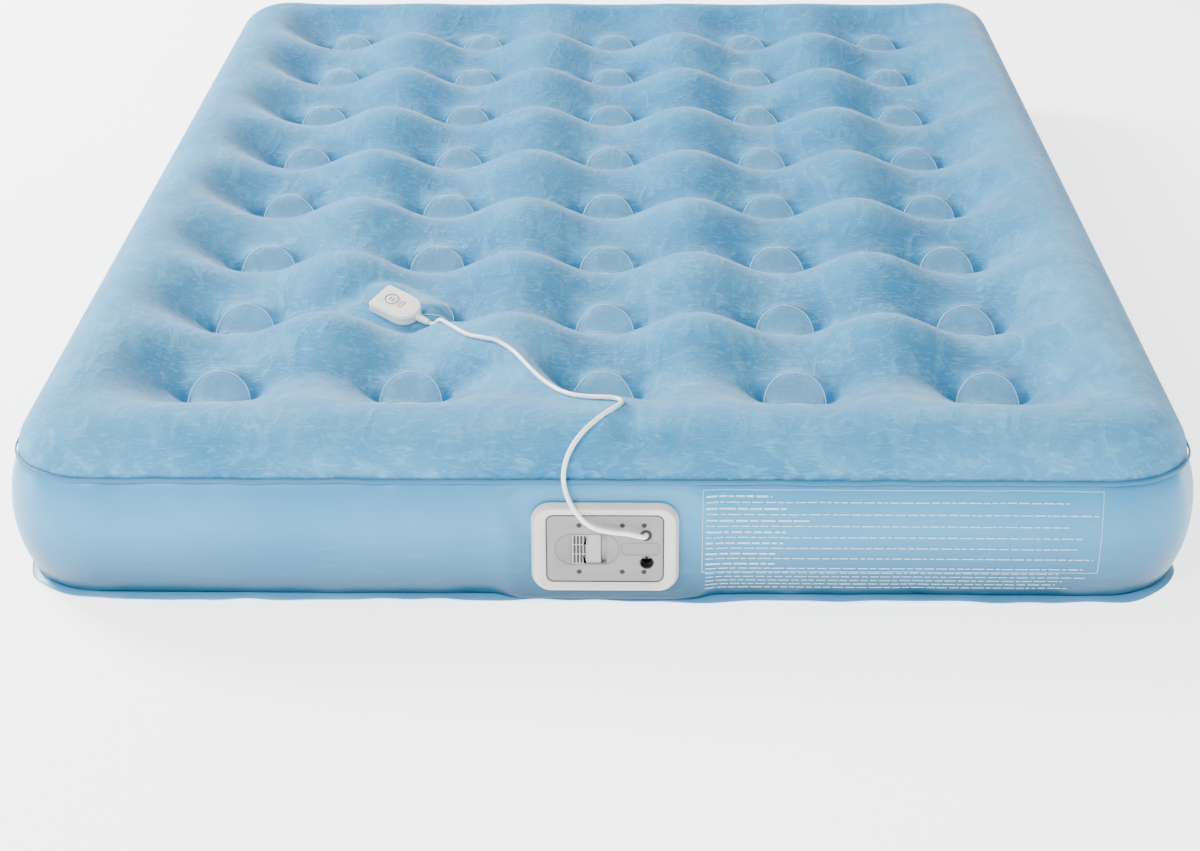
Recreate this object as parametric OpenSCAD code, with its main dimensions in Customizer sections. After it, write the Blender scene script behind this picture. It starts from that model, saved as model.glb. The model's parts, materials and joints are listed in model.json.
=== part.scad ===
// Double air bed with coil-beam dimples, a built-in pump and a corded handset.
// Millimetres. Origin: centre of the footprint on the floor. +Y is the head end,
// -Y the pump end, +X is to the right for someone facing the pump panel.

/* [Mattress] */
// Width across the bulge of the side walls
mattress_w = 1370; // [1340:10:1400]
// Length across the bulge of the end walls
mattress_l = 1910; // [1880:10:1940]
// Height of the fabric deck between crowns and dimples
deck_h = 196; // [192:1:200]
// Rise of each crown above the deck
crown_rise = 22; // [16:1:26]
// Radius of each crown's foot
crown_foot_r = 50; // [44:1:52]
// Radius of the rolled top edge
roll_r = 50; // [46:1:56]
// Height of the welded seam between wall and deck
seam_h = 155; // [150:1:158]
// Radius of the bulge in the side walls
bulge_r = 175; // [160:5:200]
// Height of the widest point of the bulge
bulge_h = 92; // [86:1:96]
// Plan radius of the corners, at the bulge
corner_r = 115; // [105:5:130]
// Thickness of the coated sheet
skin = 2; // [1.6:0.1:2.4]

/* [Coils] */
// Distance from the front wall to the first row of coils
front_margin = 254; // [244:2:264]
// Distance from the last row of coils to the rear wall
rear_margin = 172; // [162:2:182]
// Distance from a side wall to the nearest column of coils
side_margin = 221; // [211:2:231]
// Outer radius of a coil tube and of its weld discs
coil_r = 38; // [34:1:40]
// Radius of a dimple where it meets the deck
dimple_r = 102; // [98:1:103]
// Height of the deck at the bottom of a dimple
dimple_floor_h = 158; // [152:1:162]

/* [Pump panel] */
// Sideways position of the panel's centre
panel_x = 6; // [-20:1:20]
// Height of the panel's centre
panel_z = 78; // [76:1:80]
// Width of the soft flange that the wall is welded to
flange_w = 196; // [190:1:204]
// Height of that flange
flange_h = 122; // [120:1:126]
// Width of the bezel
bezel_w = 166; // [160:1:172]
// Height of the bezel
bezel_h = 110; // [106:1:112]
// Width of the faceplate
plate_w = 131; // [129:1:134]
// Height of the faceplate
plate_h = 83; // [82:1:86]
// Depth of the pump tub behind the faceplate
tub_depth = 117; // [116:1:122]

/* [Panel fittings] */
// Travel of the mode slider
slider_travel = 6; // [3:0.5:6]
// Radius of the power inlet's bore
inlet_r = 7; // [6:0.1:7.1]
// Depth of the power inlet's bore at full radius
inlet_depth = 10; // [8:0.5:11]

/* [Handset] */
// Length of the handset's shells
hand_l = 64; // [60:1:68]
// Width of the handset
hand_w = 44; // [42:1:48]
// Thickness of the handset
hand_t = 15; // [14:0.5:17]
// Travel of the handset's button
button_travel = 1.5; // [0.8:0.1:1.5]
// Radius of the remote cord
cord_r = 2.75; // [2:0.05:3]

/* [Hidden] */
$fn = 96;
COLS = 5;
ROWS = 8;
EPS = 0.01;

// Mattress, derived
front_y = -mattress_l / 2;
pitch_x = (mattress_w - 2 * side_margin) / (COLS - 1);
pitch_y = (mattress_l - front_margin - rear_margin) / (ROWS - 1);
// Outward offsets are measured from the widest point of the bulge, negative inwards
wall_centre = -bulge_r;
seam_off = wall_centre + sqrt(pow(bulge_r, 2) - pow(seam_h - bulge_h, 2));
roll_centre_h = deck_h - roll_r;
roll_centre = seam_off - sqrt(pow(roll_r, 2) - pow(seam_h - roll_centre_h, 2));
hem_h = 8;
hem_off = wall_centre + sqrt(pow(bulge_r, 2) - pow(bulge_h - hem_h, 2));
hem_reach = 9;
hem_t = 1.6;
seam_bead_r = 2.2;
seam_bead_lift = 0.6;
disc_t = 2;
crown_r = (pow(crown_foot_r, 2) + pow(crown_rise, 2)) / (2 * crown_rise);
crown_centre_h = deck_h + crown_rise - crown_r;

// Pump, derived: depths are measured inwards from the faceplate's front
flange_r = 28;
flange_t = 2;
flange_depth = 11;
bezel_r = 22;
bezel_front = -4;
bezel_draft = 8;
funnel = [20, 16];
funnel_r = 15;
bezel_back = 7;
plate_r = 8;
plate_t = 3;
fit_gap = 0.3;
tub_w = plate_w - 4;
tub_h = plate_h - 4;
tub_r = 7;
tub_wall = 2.5;
tub_flange_t = 2.5;
tub_back = plate_t + tub_depth;
// Screw positions on the faceplate
screw_xs = [-29, 19.5, 44];
screw_z = 29.3;
screw_hole_r = 3;
boss_r = 3.9;
boss_back = 12;
screw_shank_r = 1.45;
// Slider and its stadium-shaped recess
recess = [72, 38];
recess_at = [-20, -1];
cup_back = 7;
dish_depth = 5.5;
slider_w = 32.6;
slider_h = 36;
slider_left = -37;
grille_w = 17.3;
slot_w = 2.5;
slot_h = 10.8;
slider_tail = 8;
slot_pitch_x = 3.8;
slot_pitch_z = 11.7;
// Openings in the faceplate
inlet_at = [47, -17.5];
inlet_outer_r = 8.2;
grommet_at = [46, 17];
grommet_r = 6.9;
badge = [43, 15.5];
badge_at = [40, -0.5];
badge_t = 0.8;
// Fan and motor axis, and the stations along it
fan_at = [-20, 0];
shroud_r = 35.5;
shroud_front = 27;
shroud_back = 52;
impeller_r = 30;
impeller_front = 31;
impeller_back = 48;
shaft_r = 1.6;
motor_r = 19;
motor_front = 55;
motor_back = 95;
bush_r = 4;
running_gap = 0.05;
// Circuit board plane and the valve's axis, across from the panel's centre
board_x = 24;
valve_x = 40;
port_r = 15;
seat_t = 4;
valve_pin_r = 1.5;
valve_pin_z = 24.5;
valve_pin_depth = 7.6;
valve_ear_r = 4.2;

// Handset placement: it leans on the rear slope of a dimple
hand_at = [-263, -510, 188];
hand_tilt = 21;
hand_turn = -35;
hand_wall = 2;
hand_corner_r = 6;
relief_end = 50;
cord_start = 42;
button_at = [-9, 0];
button_r = 10.4;
hand_screws_at = [[-25, 15], [-25, -15], [14, 14], [14, -14]];
// In handset coordinates, the two points where the cord leaves the strain relief,
// and then the points of its route, which ends inside the panel's grommet
cord_exit = [[cord_start, 0, 0], [relief_end + 8, 0, 0]];
cord_route = [
    [-205, -562, 192], [-191, -600, 202], [-167, -636, 204], [-144, -655, 207],
    [-128, -664, 207], [-107, -690, 205], [-88, -729, 203], [-70, -770, 204],
    [-50, -807, 207], [-30, -831, 211], [-10, -842, 214], [10, -848, 216],
    [21, -855, 217], [24, -865, 218], [18, -877, 218], [7, -891, 217],
    [-5, -904, 213], [-17, -917, 207], [-27, -928, 198], [-34, -936, 188],
    [-38, -942, 178], [-40, -947, 167], [-39, -952, 155], [-35, -958, 143],
    [-29, -962, 132], [-20, -964, 120], [-9, -965, 111], [4, -965, 106],
    [18, -966, 104], [32, -967, 103], [42, -968, 101], [49, -965, 98],
    [52, -958, 96], [52, -949, 95]
];

// ---------- helpers ----------

function unit(v) = v / norm(v);

// A point of the handset's own coordinates in the bed's frame
function hand_point(p) =
    let (c = cos(hand_turn), s = sin(hand_turn), ct = cos(hand_tilt), st = sin(hand_tilt))
    let (q = [c * p[0] - s * p[1], s * p[0] + c * p[1], p[2]])
    hand_at + [q[0], ct * q[1] - st * q[2], st * q[1] + ct * q[2]];

// Catmull-Rom curve through the points, with a number of steps in each span
function spline_at(a, b, c, d, t) =
    0.5 * (2 * b + (c - a) * t + (2 * a - 5 * b + 4 * c - d) * t * t
        + (3 * b - a - 3 * c + d) * t * t * t);
function smooth_path(p, steps) = concat(
    [for (i = [0:len(p) - 2], k = [0:steps - 1])
        spline_at(p[max(i - 1, 0)], p[i], p[i + 1], p[min(i + 2, len(p) - 1)], k / steps)],
    [p[len(p) - 1]]
);
function tangent(p, i) = unit(p[min(i + 1, len(p) - 1)] - p[max(i - 1, 0)]);
function square_to(n, t) = unit(n - (n * t) * t);
function normals(p, i, n) =
    i >= len(p) ? [] :
    let (m = square_to(n, tangent(p, i))) concat([m], normals(p, i + 1, m));

// A tube of one radius swept along a path, closed by flat ends
module tube_along(path, r, sides) {
    ns = normals(path, 0, [0.3, 0.2, 1]);
    rings = len(path);
    points = [for (i = [0:rings - 1], k = [0:sides - 1])
        let (t = tangent(path, i), a = 360 * k / sides)
        path[i] + r * (cos(a) * ns[i] + sin(a) * cross(t, ns[i]))];
    walls = [for (i = [0:rings - 2], k = [0:sides - 1])
        [i * sides + k, (i + 1) * sides + k,
         (i + 1) * sides + (k + 1) % sides, i * sides + (k + 1) % sides]];
    ends = [[for (k = [0:sides - 1]) k],
            [for (k = [0:sides - 1]) rings * sides - 1 - k]];
    polyhedron(points = points, faces = concat(walls, ends), convexity = 10);
}

module rounded_rect(w, h, r) {
    square([w - 2 * r, h], center = true);
    square([w, h - 2 * r], center = true);
    for (sx = [-1, 1], sy = [-1, 1])
        translate([sx * (w / 2 - r), sy * (h / 2 - r)]) circle(r);
}

module rounded_frame(w, h, r, wall) difference() {
    rounded_rect(w, h, r);
    rounded_rect(w - 2 * wall, h - 2 * wall, r - wall);
}

// The bed's outline in plan, set in from the widest point of the bulge
module bed_outline(inset)
    rounded_rect(mattress_w - 2 * inset, mattress_l - 2 * inset, corner_r - inset);

// Sweeps a section of outward offset and height all round the bed
module around_bed() {
    sx = mattress_w / 2 - corner_r;
    sy = mattress_l / 2 - corner_r;
    quarter = [[sx, sy, 0], [-sx, sy, 90], [-sx, -sy, 180], [sx, -sy, 270]];
    for (q = quarter) translate([q[0], q[1], 0]) rotate([0, 0, q[2]])
        rotate_extrude(angle = 90) translate([corner_r, 0]) children();
    runs = [[sy, 0, mattress_w / 2], [sx, 90, mattress_l / 2]];
    for (run = runs, half = [0, 180]) rotate([0, 0, run[1] + half])
        translate([run[2], run[0], 0]) rotate([90, 0, 0])
        linear_extrude(2 * run[0]) children();
}

module wall_disc(grow = 0) translate([wall_centre, bulge_h]) circle(bulge_r + grow);
module roll_disc(grow = 0) translate([roll_centre, roll_centre_h]) circle(roll_r + grow);

module at_coils() for (c = [0:COLS - 1], r = [0:ROWS - 1])
    translate([(c - (COLS - 1) / 2) * pitch_x, front_y + front_margin + r * pitch_y, 0])
    children();

module at_crowns() for (c = [0:COLS - 2], r = [0:ROWS - 2])
    translate([(c - (COLS - 2) / 2) * pitch_x,
               front_y + front_margin + (r + 0.5) * pitch_y, 0])
    children();

// Extrudes a panel outline inwards from a depth, at a place on the panel
module inward(at, depth, length)
    translate([panel_x + at[0], front_y + depth, panel_z + at[1]])
    rotate([-90, 0, 0]) linear_extrude(length) children();

// The same frame for solids whose +Z is to run inwards
module facing_in(at, depth)
    translate([panel_x + at[0], front_y + depth, panel_z + at[1]])
    rotate([-90, 0, 0]) children();

module panel_box(at, depth, size)
    translate([panel_x + at[0], front_y + depth, panel_z + at[1]]) cube(size);

module at_screws() for (x = screw_xs, s = [-1, 1]) facing_in([x, s * screw_z], 0) children();

module in_hand() translate(hand_at) rotate([hand_tilt, 0, 0]) rotate([0, 0, hand_turn])
    children();

// ---------- mattress ----------

module top_sheet() color([0.62, 0.75, 0.86]) {
    around_bed() intersection() {
        difference() {
            roll_disc();
            roll_disc(-skin);
        }
        translate([roll_centre - EPS, seam_h]) square([roll_r + 1, roll_r]);
    }
    difference() {
        translate([0, 0, deck_h - skin]) linear_extrude(skin) bed_outline(-roll_centre);
        at_coils() translate([0, 0, deck_h / 2]) cylinder(r = dimple_r - 1, h = deck_h);
        at_crowns() translate([0, 0, deck_h / 2]) cylinder(r = crown_foot_r, h = deck_h);
    }
    at_coils() dimple();
    at_crowns() crown();
}

module dimple() rotate_extrude() polygon([
    [0, dimple_floor_h - skin], [coil_r + 1, dimple_floor_h - skin],
    [dimple_r, deck_h - skin], [dimple_r, deck_h],
    [dimple_r - 1, deck_h], [coil_r, dimple_floor_h], [0, dimple_floor_h]
]);

module crown() intersection() {
    translate([0, 0, crown_centre_h]) difference() {
        sphere(crown_r);
        sphere(crown_r - skin);
    }
    translate([0, 0, deck_h - skin]) cylinder(r = 2 * crown_foot_r, h = 2 * crown_rise);
}

module wall_ring() around_bed() intersection() {
    difference() {
        wall_disc();
        wall_disc(-skin);
    }
    translate([hem_off - skin - 2, hem_h]) square([-hem_off + skin + 3, seam_h - hem_h]);
}

module side_wall() color([0.40, 0.58, 0.76]) difference() {
    wall_ring();
    inward([0, 0], -5, 60) rounded_rect(flange_w, flange_h, flange_r);
}

module bottom_sheet() color([0.36, 0.52, 0.70]) {
    around_bed() difference() {
        intersection() {
            translate([hem_off - hem_h, hem_h]) circle(hem_h);
            translate([hem_off - hem_h - EPS, 0]) square([hem_h + 1, hem_h]);
        }
        translate([hem_off - hem_h, hem_h]) circle(hem_h - skin);
    }
    linear_extrude(skin) bed_outline(hem_h - hem_off);
}

// The round weld bead in the groove between wall and top sheet, which it touches along two lines
module top_seam() color([0.34, 0.50, 0.68]) around_bed()
    translate([seam_off + seam_bead_r, seam_h + seam_bead_lift]) circle(seam_bead_r);

// The flat welded flange that stands out at the foot of the wall
module bottom_hem() color([0.56, 0.70, 0.82]) around_bed() difference() {
    translate([hem_off - 1, hem_h - hem_t / 2]) square([hem_reach + 1, hem_t]);
    wall_disc();
    translate([hem_off - hem_h, hem_h]) circle(hem_h);
}

module top_weld_discs() color([0.70, 0.80, 0.88]) at_coils()
    translate([0, 0, dimple_floor_h - skin - disc_t]) cylinder(r = coil_r, h = disc_t);

module bottom_weld_discs() color([0.70, 0.80, 0.88]) at_coils()
    translate([0, 0, skin]) cylinder(r = coil_r, h = disc_t);

module coil_row(k) color([0.72, 0.80, 0.86]) for (c = [0:COLS - 1])
    translate([(c - (COLS - 1) / 2) * pitch_x,
               front_y + front_margin + (k - 1) * pitch_y, skin + disc_t])
    difference() {
        height = dimple_floor_h - 2 * skin - 2 * disc_t;
        cylinder(r = coil_r, h = height);
        translate([0, 0, -1]) cylinder(r = coil_r - skin, h = height + 2);
    }

// ---------- pump housing ----------

module pump_weld_flange() color([0.45, 0.62, 0.78]) {
    inward([0, 0], flange_depth, flange_t) difference() {
        rounded_rect(flange_w, flange_h, flange_r);
        rounded_rect(tub_w + 0.4, tub_h + 0.4, tub_r + 0.2);
    }
    inward([0, 0], 5, 22) rounded_frame(flange_w, flange_h, flange_r, 3);
}

module bezel_gasket() color([0.15, 0.15, 0.16]) inward([0, 0], flange_depth - 1.5, 1.5)
    difference() {
        rounded_rect(bezel_w - 6, bezel_h - 6, bezel_r - 3);
        rounded_rect(tub_w + 12, tub_h + 12, 12);
    }

module pump_tub() color([0.78, 0.77, 0.74]) {
    difference() {
        union() {
            inward([0, 0], bezel_back, tub_flange_t)
                rounded_rect(bezel_w - 4, bezel_h - 4, bezel_r - 2);
            inward([0, 0], plate_t, tub_depth) rounded_rect(tub_w, tub_h, tub_r);
        }
        inward([0, 0], plate_t - 1, tub_depth - tub_wall + 1)
            rounded_rect(tub_w - 2 * tub_wall, tub_h - 2 * tub_wall, tub_r - tub_wall);
        inward([valve_x, 0], tub_back - tub_wall - 1, tub_wall + 2) circle(port_r);
    }
    // Screw bosses, each on a rib from the nearer wall
    difference() {
        union() {
            at_screws() translate([0, 0, boss_back + 0.1]) cylinder(r = boss_r, h = 14);
            for (x = screw_xs, s = [-1, 1])
                panel_box([x - 1.5, s > 0 ? screw_z : -tub_h / 2 + 1], boss_back + 0.1,
                          [3, 14, tub_h / 2 - 1 - screw_z]);
        }
        at_screws() translate([0, 0, boss_back]) cylinder(r = screw_shank_r + 0.05, h = 13);
    }
    // Stops behind the motor bracket, and the board's end stops
    for (s = [-1, 1]) {
        panel_box([fan_at[0] - 8, s > 0 ? 30 : -tub_h / 2 + 1], motor_front,
                  [16, 20, tub_h / 2 - 31]);
        panel_box([board_x - 3, s * 26 - 3], 106, [7, tub_back - tub_wall - 106 + EPS, 6]);
    }
}

// A raised ring with drafted sides, whose inside slopes down to the faceplate
module pump_bezel() color([0.80, 0.79, 0.76]) difference() {
    opening = [plate_w + 2 * fit_gap, plate_h + 2 * fit_gap];
    hull() {
        inward([0, 0], bezel_back - 2, 2) rounded_rect(bezel_w, bezel_h, bezel_r, $fn = 32);
        inward([0, 0], bezel_front, 1)
            rounded_rect(bezel_w - bezel_draft, bezel_h - bezel_draft,
                         bezel_r - bezel_draft / 2, $fn = 32);
    }
    hull() {
        inward([0, 0], bezel_front - 1, 1)
            rounded_rect(plate_w + funnel[0], plate_h + funnel[1], funnel_r, $fn = 32);
        inward([0, 0], 0, EPS)
            rounded_rect(opening[0], opening[1], plate_r + fit_gap, $fn = 32);
    }
    inward([0, 0], bezel_front, bezel_back - bezel_front + 1)
        rounded_rect(opening[0], opening[1], plate_r + fit_gap);
}

module stadium(w, h) rounded_rect(w, h, h / 2 - EPS);

module faceplate() color([0.76, 0.74, 0.72]) difference() {
    cap_r = (pow(recess[1] / 2, 2) + pow(dish_depth, 2)) / (2 * dish_depth);
    end_x = (recess[0] - recess[1]) / 2;
    union() {
        inward([0, 0], 0, plate_t) rounded_rect(plate_w, plate_h, plate_r);
        inward(recess_at, plate_t - EPS, cup_back - plate_t + EPS)
            stadium(recess[0] + 10, recess[1] + 12);
        at_screws() translate([0, 0, plate_t - EPS]) cylinder(r = boss_r, h = 9 + EPS);
    }
    // Dished ends of the recess, and the slider's window between them
    for (s = [-1, 1]) facing_in([recess_at[0] + s * end_x, recess_at[1]],
                                dish_depth - cap_r) sphere(cap_r);
    panel_box([slider_left - 0.3, recess_at[1] - slider_h / 2 - 0.2], -1,
              [slider_w + slider_travel + 0.6, cup_back + 2, slider_h + 0.4]);
    at_screws() {
        translate([0, 0, -1]) cylinder(r = screw_hole_r, h = 10);
        cylinder(r = screw_shank_r + 0.15, h = boss_back + 1);
    }
    inward(inlet_at, -1, plate_t + 2) circle(inlet_outer_r + 0.05);
    inward(grommet_at, -1, plate_t + 2) circle(grommet_r + 0.02);
    inward(badge_at, -1, 1 + badge_t) rounded_rect(badge[0] + 0.2, badge[1] + 0.2, 5.1);
}

module housing_screws() color([0.45, 0.45, 0.46]) at_screws() difference() {
    union() {
        translate([0, 0, 7]) cylinder(r = 2.7, h = 2);
        translate([0, 0, 9 - EPS]) cylinder(r = screw_shank_r, h = 14);
    }
    translate([-1.9, -0.35, 6.9]) cube([3.8, 0.7, 1.1]);
    translate([-0.35, -1.9, 6.9]) cube([0.7, 3.8, 1.1]);
}

module badge_plate() color([0.74, 0.72, 0.70]) {
    inward(badge_at, 0.25, badge_t - 0.25) rounded_rect(badge[0], badge[1], 5);
    inward(badge_at, 0, 0.3) rounded_frame(badge[0], badge[1], 5, 1);
}

module cord_grommet() color([0.12, 0.12, 0.13]) difference() {
    union() {
        inward(grommet_at, 0, plate_t) circle(grommet_r);
        inward(grommet_at, plate_t, 1.5) circle(grommet_r + 1.2);
        inward(grommet_at, plate_t + 1, 5) circle(5);
    }
    inward(grommet_at, -1, 7) circle(cord_r + 0.4);
}

module power_inlet() color([0.10, 0.10, 0.11]) difference() {
    inward(inlet_at, 0, 23) circle(inlet_outer_r);
    inward(inlet_at, -1, inlet_depth + 1) circle(inlet_r);
    inward(inlet_at, 0, 19) circle(inlet_r - 0.8);
    for (s = [-1, 1]) inward([inlet_at[0] + 3 * s, inlet_at[1]], 18, 6) circle(1.12);
}

module inlet_pins() color([0.80, 0.78, 0.70])
    for (s = [-1, 1]) inward([inlet_at[0] + 3 * s, inlet_at[1]], inlet_depth + 2, 18) circle(1.1);

module mode_slider() color([0.76, 0.74, 0.72]) {
    mid_z = recess_at[1];
    difference() {
        union() {
            panel_box([slider_left, mid_z - slider_h / 2], 2, [slider_w, 6, slider_h]);
            panel_box([slider_left, mid_z - slider_h / 2], 0, [grille_w, 3, slider_h]);
            panel_box([slider_left, mid_z - 21], cup_back + 0.3,
                      [slider_w + slider_tail, 2, 42]);
        }
        for (i = [-1.5:1.5], j = [-1:1])
            panel_box([slider_left + grille_w / 2 + i * slot_pitch_x - slot_w / 2,
                       mid_z + j * slot_pitch_z - slot_h / 2], -1, [slot_w, 12, slot_h]);
        panel_box([slider_left + grille_w + 3, mid_z - 15], 3.5, [slider_w - grille_w - 6, 8, 30]);
    }
}

module slider_guide() color([0.70, 0.69, 0.67]) {
    left = slider_left - 3;
    width = slider_w + slider_travel + 6;
    for (s = [-1, 1]) {
        z0 = recess_at[1] + (s > 0 ? 21.4 : -24.4);
        lip = recess_at[1] + (s > 0 ? 18.4 : -24.4);
        panel_box([left, z0], cup_back, [width, 4.6, 3]);
        panel_box([left, lip], cup_back + 2.6, [width, 2, 6]);
    }
    for (x = [left, left + width - 2])
        panel_box([x, recess_at[1] - 24.4], cup_back + 2.6, [2, 2, 48.8]);
}

// ---------- fan and motor ----------

module fan_shroud() color([0.55, 0.56, 0.58]) difference() {
    inward(fan_at, shroud_front, shroud_back - shroud_front) circle(shroud_r);
    inward(fan_at, shroud_front + 2.5, shroud_back) circle(shroud_r - 2.5);
    inward(fan_at, shroud_front - 1, 5) circle(20);
}

module impeller() color([0.85, 0.85, 0.86]) difference() {
    union() {
        inward(fan_at, impeller_back - 2, 2) circle(impeller_r);
        inward(fan_at, impeller_front, impeller_back - impeller_front - 1) circle(7);
        inward(fan_at, impeller_front, impeller_back - impeller_front - 1.5) for (i = [0:8]) rotate(40 * i) intersection() {
            difference() {
                translate([20, 0]) circle(17);
                translate([20, 0]) circle(15.4);
            }
            difference() {
                circle(impeller_r - 0.5);
                circle(6);
            }
            square(40);
        }
    }
    inward(fan_at, impeller_front - 1, 20) circle(shaft_r + 0.02);
}

module motor_shaft() color([0.75, 0.76, 0.78])
    inward(fan_at, impeller_front - 1, 71) circle(shaft_r);

module motor_rotor() color([0.50, 0.34, 0.22]) difference() {
    union() {
        inward(fan_at, 63, 24) circle(11);
        inward(fan_at, 87, 5.5) circle(bush_r);
    }
    inward(fan_at, 60, 40) circle(shaft_r + 0.02);
    for (i = [0:4]) facing_in(fan_at, 62) rotate(72 * i)
        translate([7, -1, 0]) cube([6, 2, 26]);
}

module motor_magnets() color([0.25, 0.25, 0.27]) inward(fan_at, 61, 28) difference() {
    circle(motor_r - 1.25);
    circle(12.5);
    square([2 * motor_r, 12], center = true);
}

module motor_can() color([0.66, 0.67, 0.70]) difference() {
    inward(fan_at, motor_front, motor_back - motor_front) circle(motor_r);
    inward(fan_at, motor_front + 1.5, motor_back) circle(motor_r - 1.2);
    inward(fan_at, motor_front - 1, 5) circle(bush_r + 0.02);
}

module motor_end_cap() color([0.20, 0.20, 0.22]) difference() {
    inward(fan_at, motor_back, 3) circle(motor_r);
    inward(fan_at, motor_back - 1, 5) circle(bush_r + 0.02);
}

module motor_bushes() color([0.72, 0.56, 0.32]) for (y = [motor_front - 1, motor_back - 1])
    inward(fan_at, y, 5) difference() {
        circle(bush_r);
        circle(shaft_r + running_gap);
    }

module motor_bracket() color([0.60, 0.61, 0.62]) inward(fan_at, shroud_back, 3) difference() {
    rounded_rect(74, tub_h - 2 * tub_wall - 0.6, 3);
    circle(9);
    for (i = [0:9]) rotate(36 * i) translate([25, 0]) circle(4.5);
}

// ---------- electrics ----------

module control_board() color([0.16, 0.42, 0.25])
    panel_box([board_x, -30], 36, [1.6, 70, 60]);

module relay() color([0.15, 0.25, 0.55])
    panel_box([board_x + 1.6, -28], 42, [15.5, 19, 15]);

module capacitor() color([0.15, 0.15, 0.35])
    translate([panel_x + board_x + 1.6, front_y + 76, panel_z - 16]) rotate([0, 90, 0])
    cylinder(r = 6, h = 20);

module transformer() color([0.70, 0.60, 0.35]) {
    panel_box([board_x + 1.6, 2], 62, [20, 26, 24]);
    panel_box([board_x + 5, -2], 66, [13, 18, 32]);
}

module terminal_block() color([0.25, 0.50, 0.35]) difference() {
    panel_box([board_x + 1.6, 8], 42, [11, 14, 16]);
    for (z = [11.5, 19]) panel_box([board_x + 4, z - 1.5], 40, [6, 8, 3]);
}

// Two leads from the motor's end cap round to the board's rear edge
module motor_leads() color([0.75, 0.15, 0.12]) for (s = [-1, 1])
    tube_along(smooth_path([for (p = [
        [fan_at[0] + 11, motor_back + 3, 8 * s], [fan_at[0] + 11, motor_back + 7, 8 * s],
        [fan_at[0] + 16, motor_back + 10, 9 * s], [fan_at[0] + 25, motor_back + 9, 11 * s],
        [fan_at[0] + 33, motor_back + 4, 13 * s], [board_x - 5, motor_back + 2, 14 * s],
        [board_x, motor_back + 2, 14 * s]
    ]) [panel_x + p[0], front_y + p[1], panel_z + p[2]]], 2), 0.9, 8);

// ---------- check valve ----------

// On the hinge line, with +Z along +X, at a distance from the valve's middle
module across_valve(from)
    translate([panel_x + valve_x + from, front_y + tub_back + valve_pin_depth,
               panel_z + valve_pin_z])
    rotate([0, 90, 0]) children();

module valve_seat() color([0.72, 0.71, 0.69]) {
    inward([valve_x, 0], tub_back, seat_t) difference() {
        circle(23);
        circle(port_r);
    }
    difference() {
        for (s = [-1, 1]) {
            panel_box([valve_x + s * 9.5 - 1.5, 19], tub_back + seat_t - EPS, [3, 1.2, 7]);
            across_valve(s * 9.5 - 1.5) cylinder(r = valve_ear_r, h = 3);
        }
        across_valve(-12) cylinder(r = valve_pin_r + 0.02, h = 24);
    }
}

module valve_gasket() color([0.20, 0.20, 0.22])
    inward([valve_x, 0], tub_back + seat_t, 1.2) difference() {
        circle(18.5);
        circle(15.5);
    }

module valve_flap() color([0.85, 0.85, 0.83]) {
    front = tub_back + seat_t + 1.4;
    difference() {
        union() {
            inward([valve_x, 0], front, 2.2) circle(20);
            panel_box([valve_x - 3.5, 12], front, [7, 2.2, valve_pin_z - 12]);
            across_valve(-3.5) cylinder(r = 3.1, h = 7);
        }
        across_valve(-12) cylinder(r = valve_pin_r + running_gap, h = 24);
    }
}

module valve_hinge_pin() color([0.78, 0.78, 0.80])
    across_valve(-11) cylinder(r = valve_pin_r, h = 22);

module valve_spring() color([0.82, 0.82, 0.84]) for (s = [-1, 1], i = [0:2])
    across_valve(s * (4.4 + 1.1 * i)) rotate_extrude() translate([2.4, 0]) circle(0.5);

// ---------- handset ----------

// Flat with rounded corners at one end, round at the end that the cord leaves
module hand_outline(inset = 0) {
    shoulder = hand_l / 2 - hand_w / 2;
    straight = hand_w / 2 - hand_corner_r;
    translate([-hand_l / 2 + hand_corner_r, -hand_w / 2 + inset])
        square([shoulder + hand_l / 2 - hand_corner_r, hand_w - 2 * inset]);
    translate([-hand_l / 2 + inset, -straight]) square([hand_l / 2, 2 * straight]);
    for (s = [-1, 1]) translate([-hand_l / 2 + hand_corner_r, s * straight])
        circle(hand_corner_r - inset);
    translate([shoulder, 0]) circle(hand_w / 2 - inset);
}

// A shell half with a floor, from the parting plane outwards
module hand_half() difference() {
    union() {
        linear_extrude(hand_t / 2 - 2) hand_outline();
        linear_extrude(hand_t / 2) hand_outline(1.5);
    }
    translate([0, 0, -EPS]) linear_extrude(hand_t / 2 - hand_wall + EPS)
        hand_outline(hand_wall + 1);
    translate([24, 0, 0]) rotate([0, 90, 0]) cylinder(r = 4.65, h = 12);
}

module handset_top_shell() color([0.90, 0.87, 0.80]) in_hand() {
    difference() {
        hand_half();
        translate([button_at[0], button_at[1], 0]) cylinder(r = button_r + 0.3, h = hand_t);
    }
    for (p = hand_screws_at) translate([p[0], p[1], 0]) difference() {
        cylinder(r = 2.6, h = hand_t / 2 - hand_wall + EPS);
        translate([0, 0, -1]) cylinder(r = 1.15, h = 5);
    }
}

module handset_bottom_shell() color([0.88, 0.85, 0.78]) in_hand() difference() {
    union() {
        mirror([0, 0, 1]) hand_half();
        for (p = hand_screws_at) translate([p[0], p[1], -hand_t / 2])
            cylinder(r = 2.6, h = hand_t / 2);
        for (x = [-18, 16], s = [-1, 1]) translate([x, s * 7, -hand_t / 2 + 1])
            cylinder(r = 2, h = 1.4);
    }
    for (p = hand_screws_at) translate([p[0], p[1], -hand_t]) {
        cylinder(r = 1.2, h = 2 * hand_t);
        cylinder(r = 2.2, h = hand_t / 2 + 3);
    }
}

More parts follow.
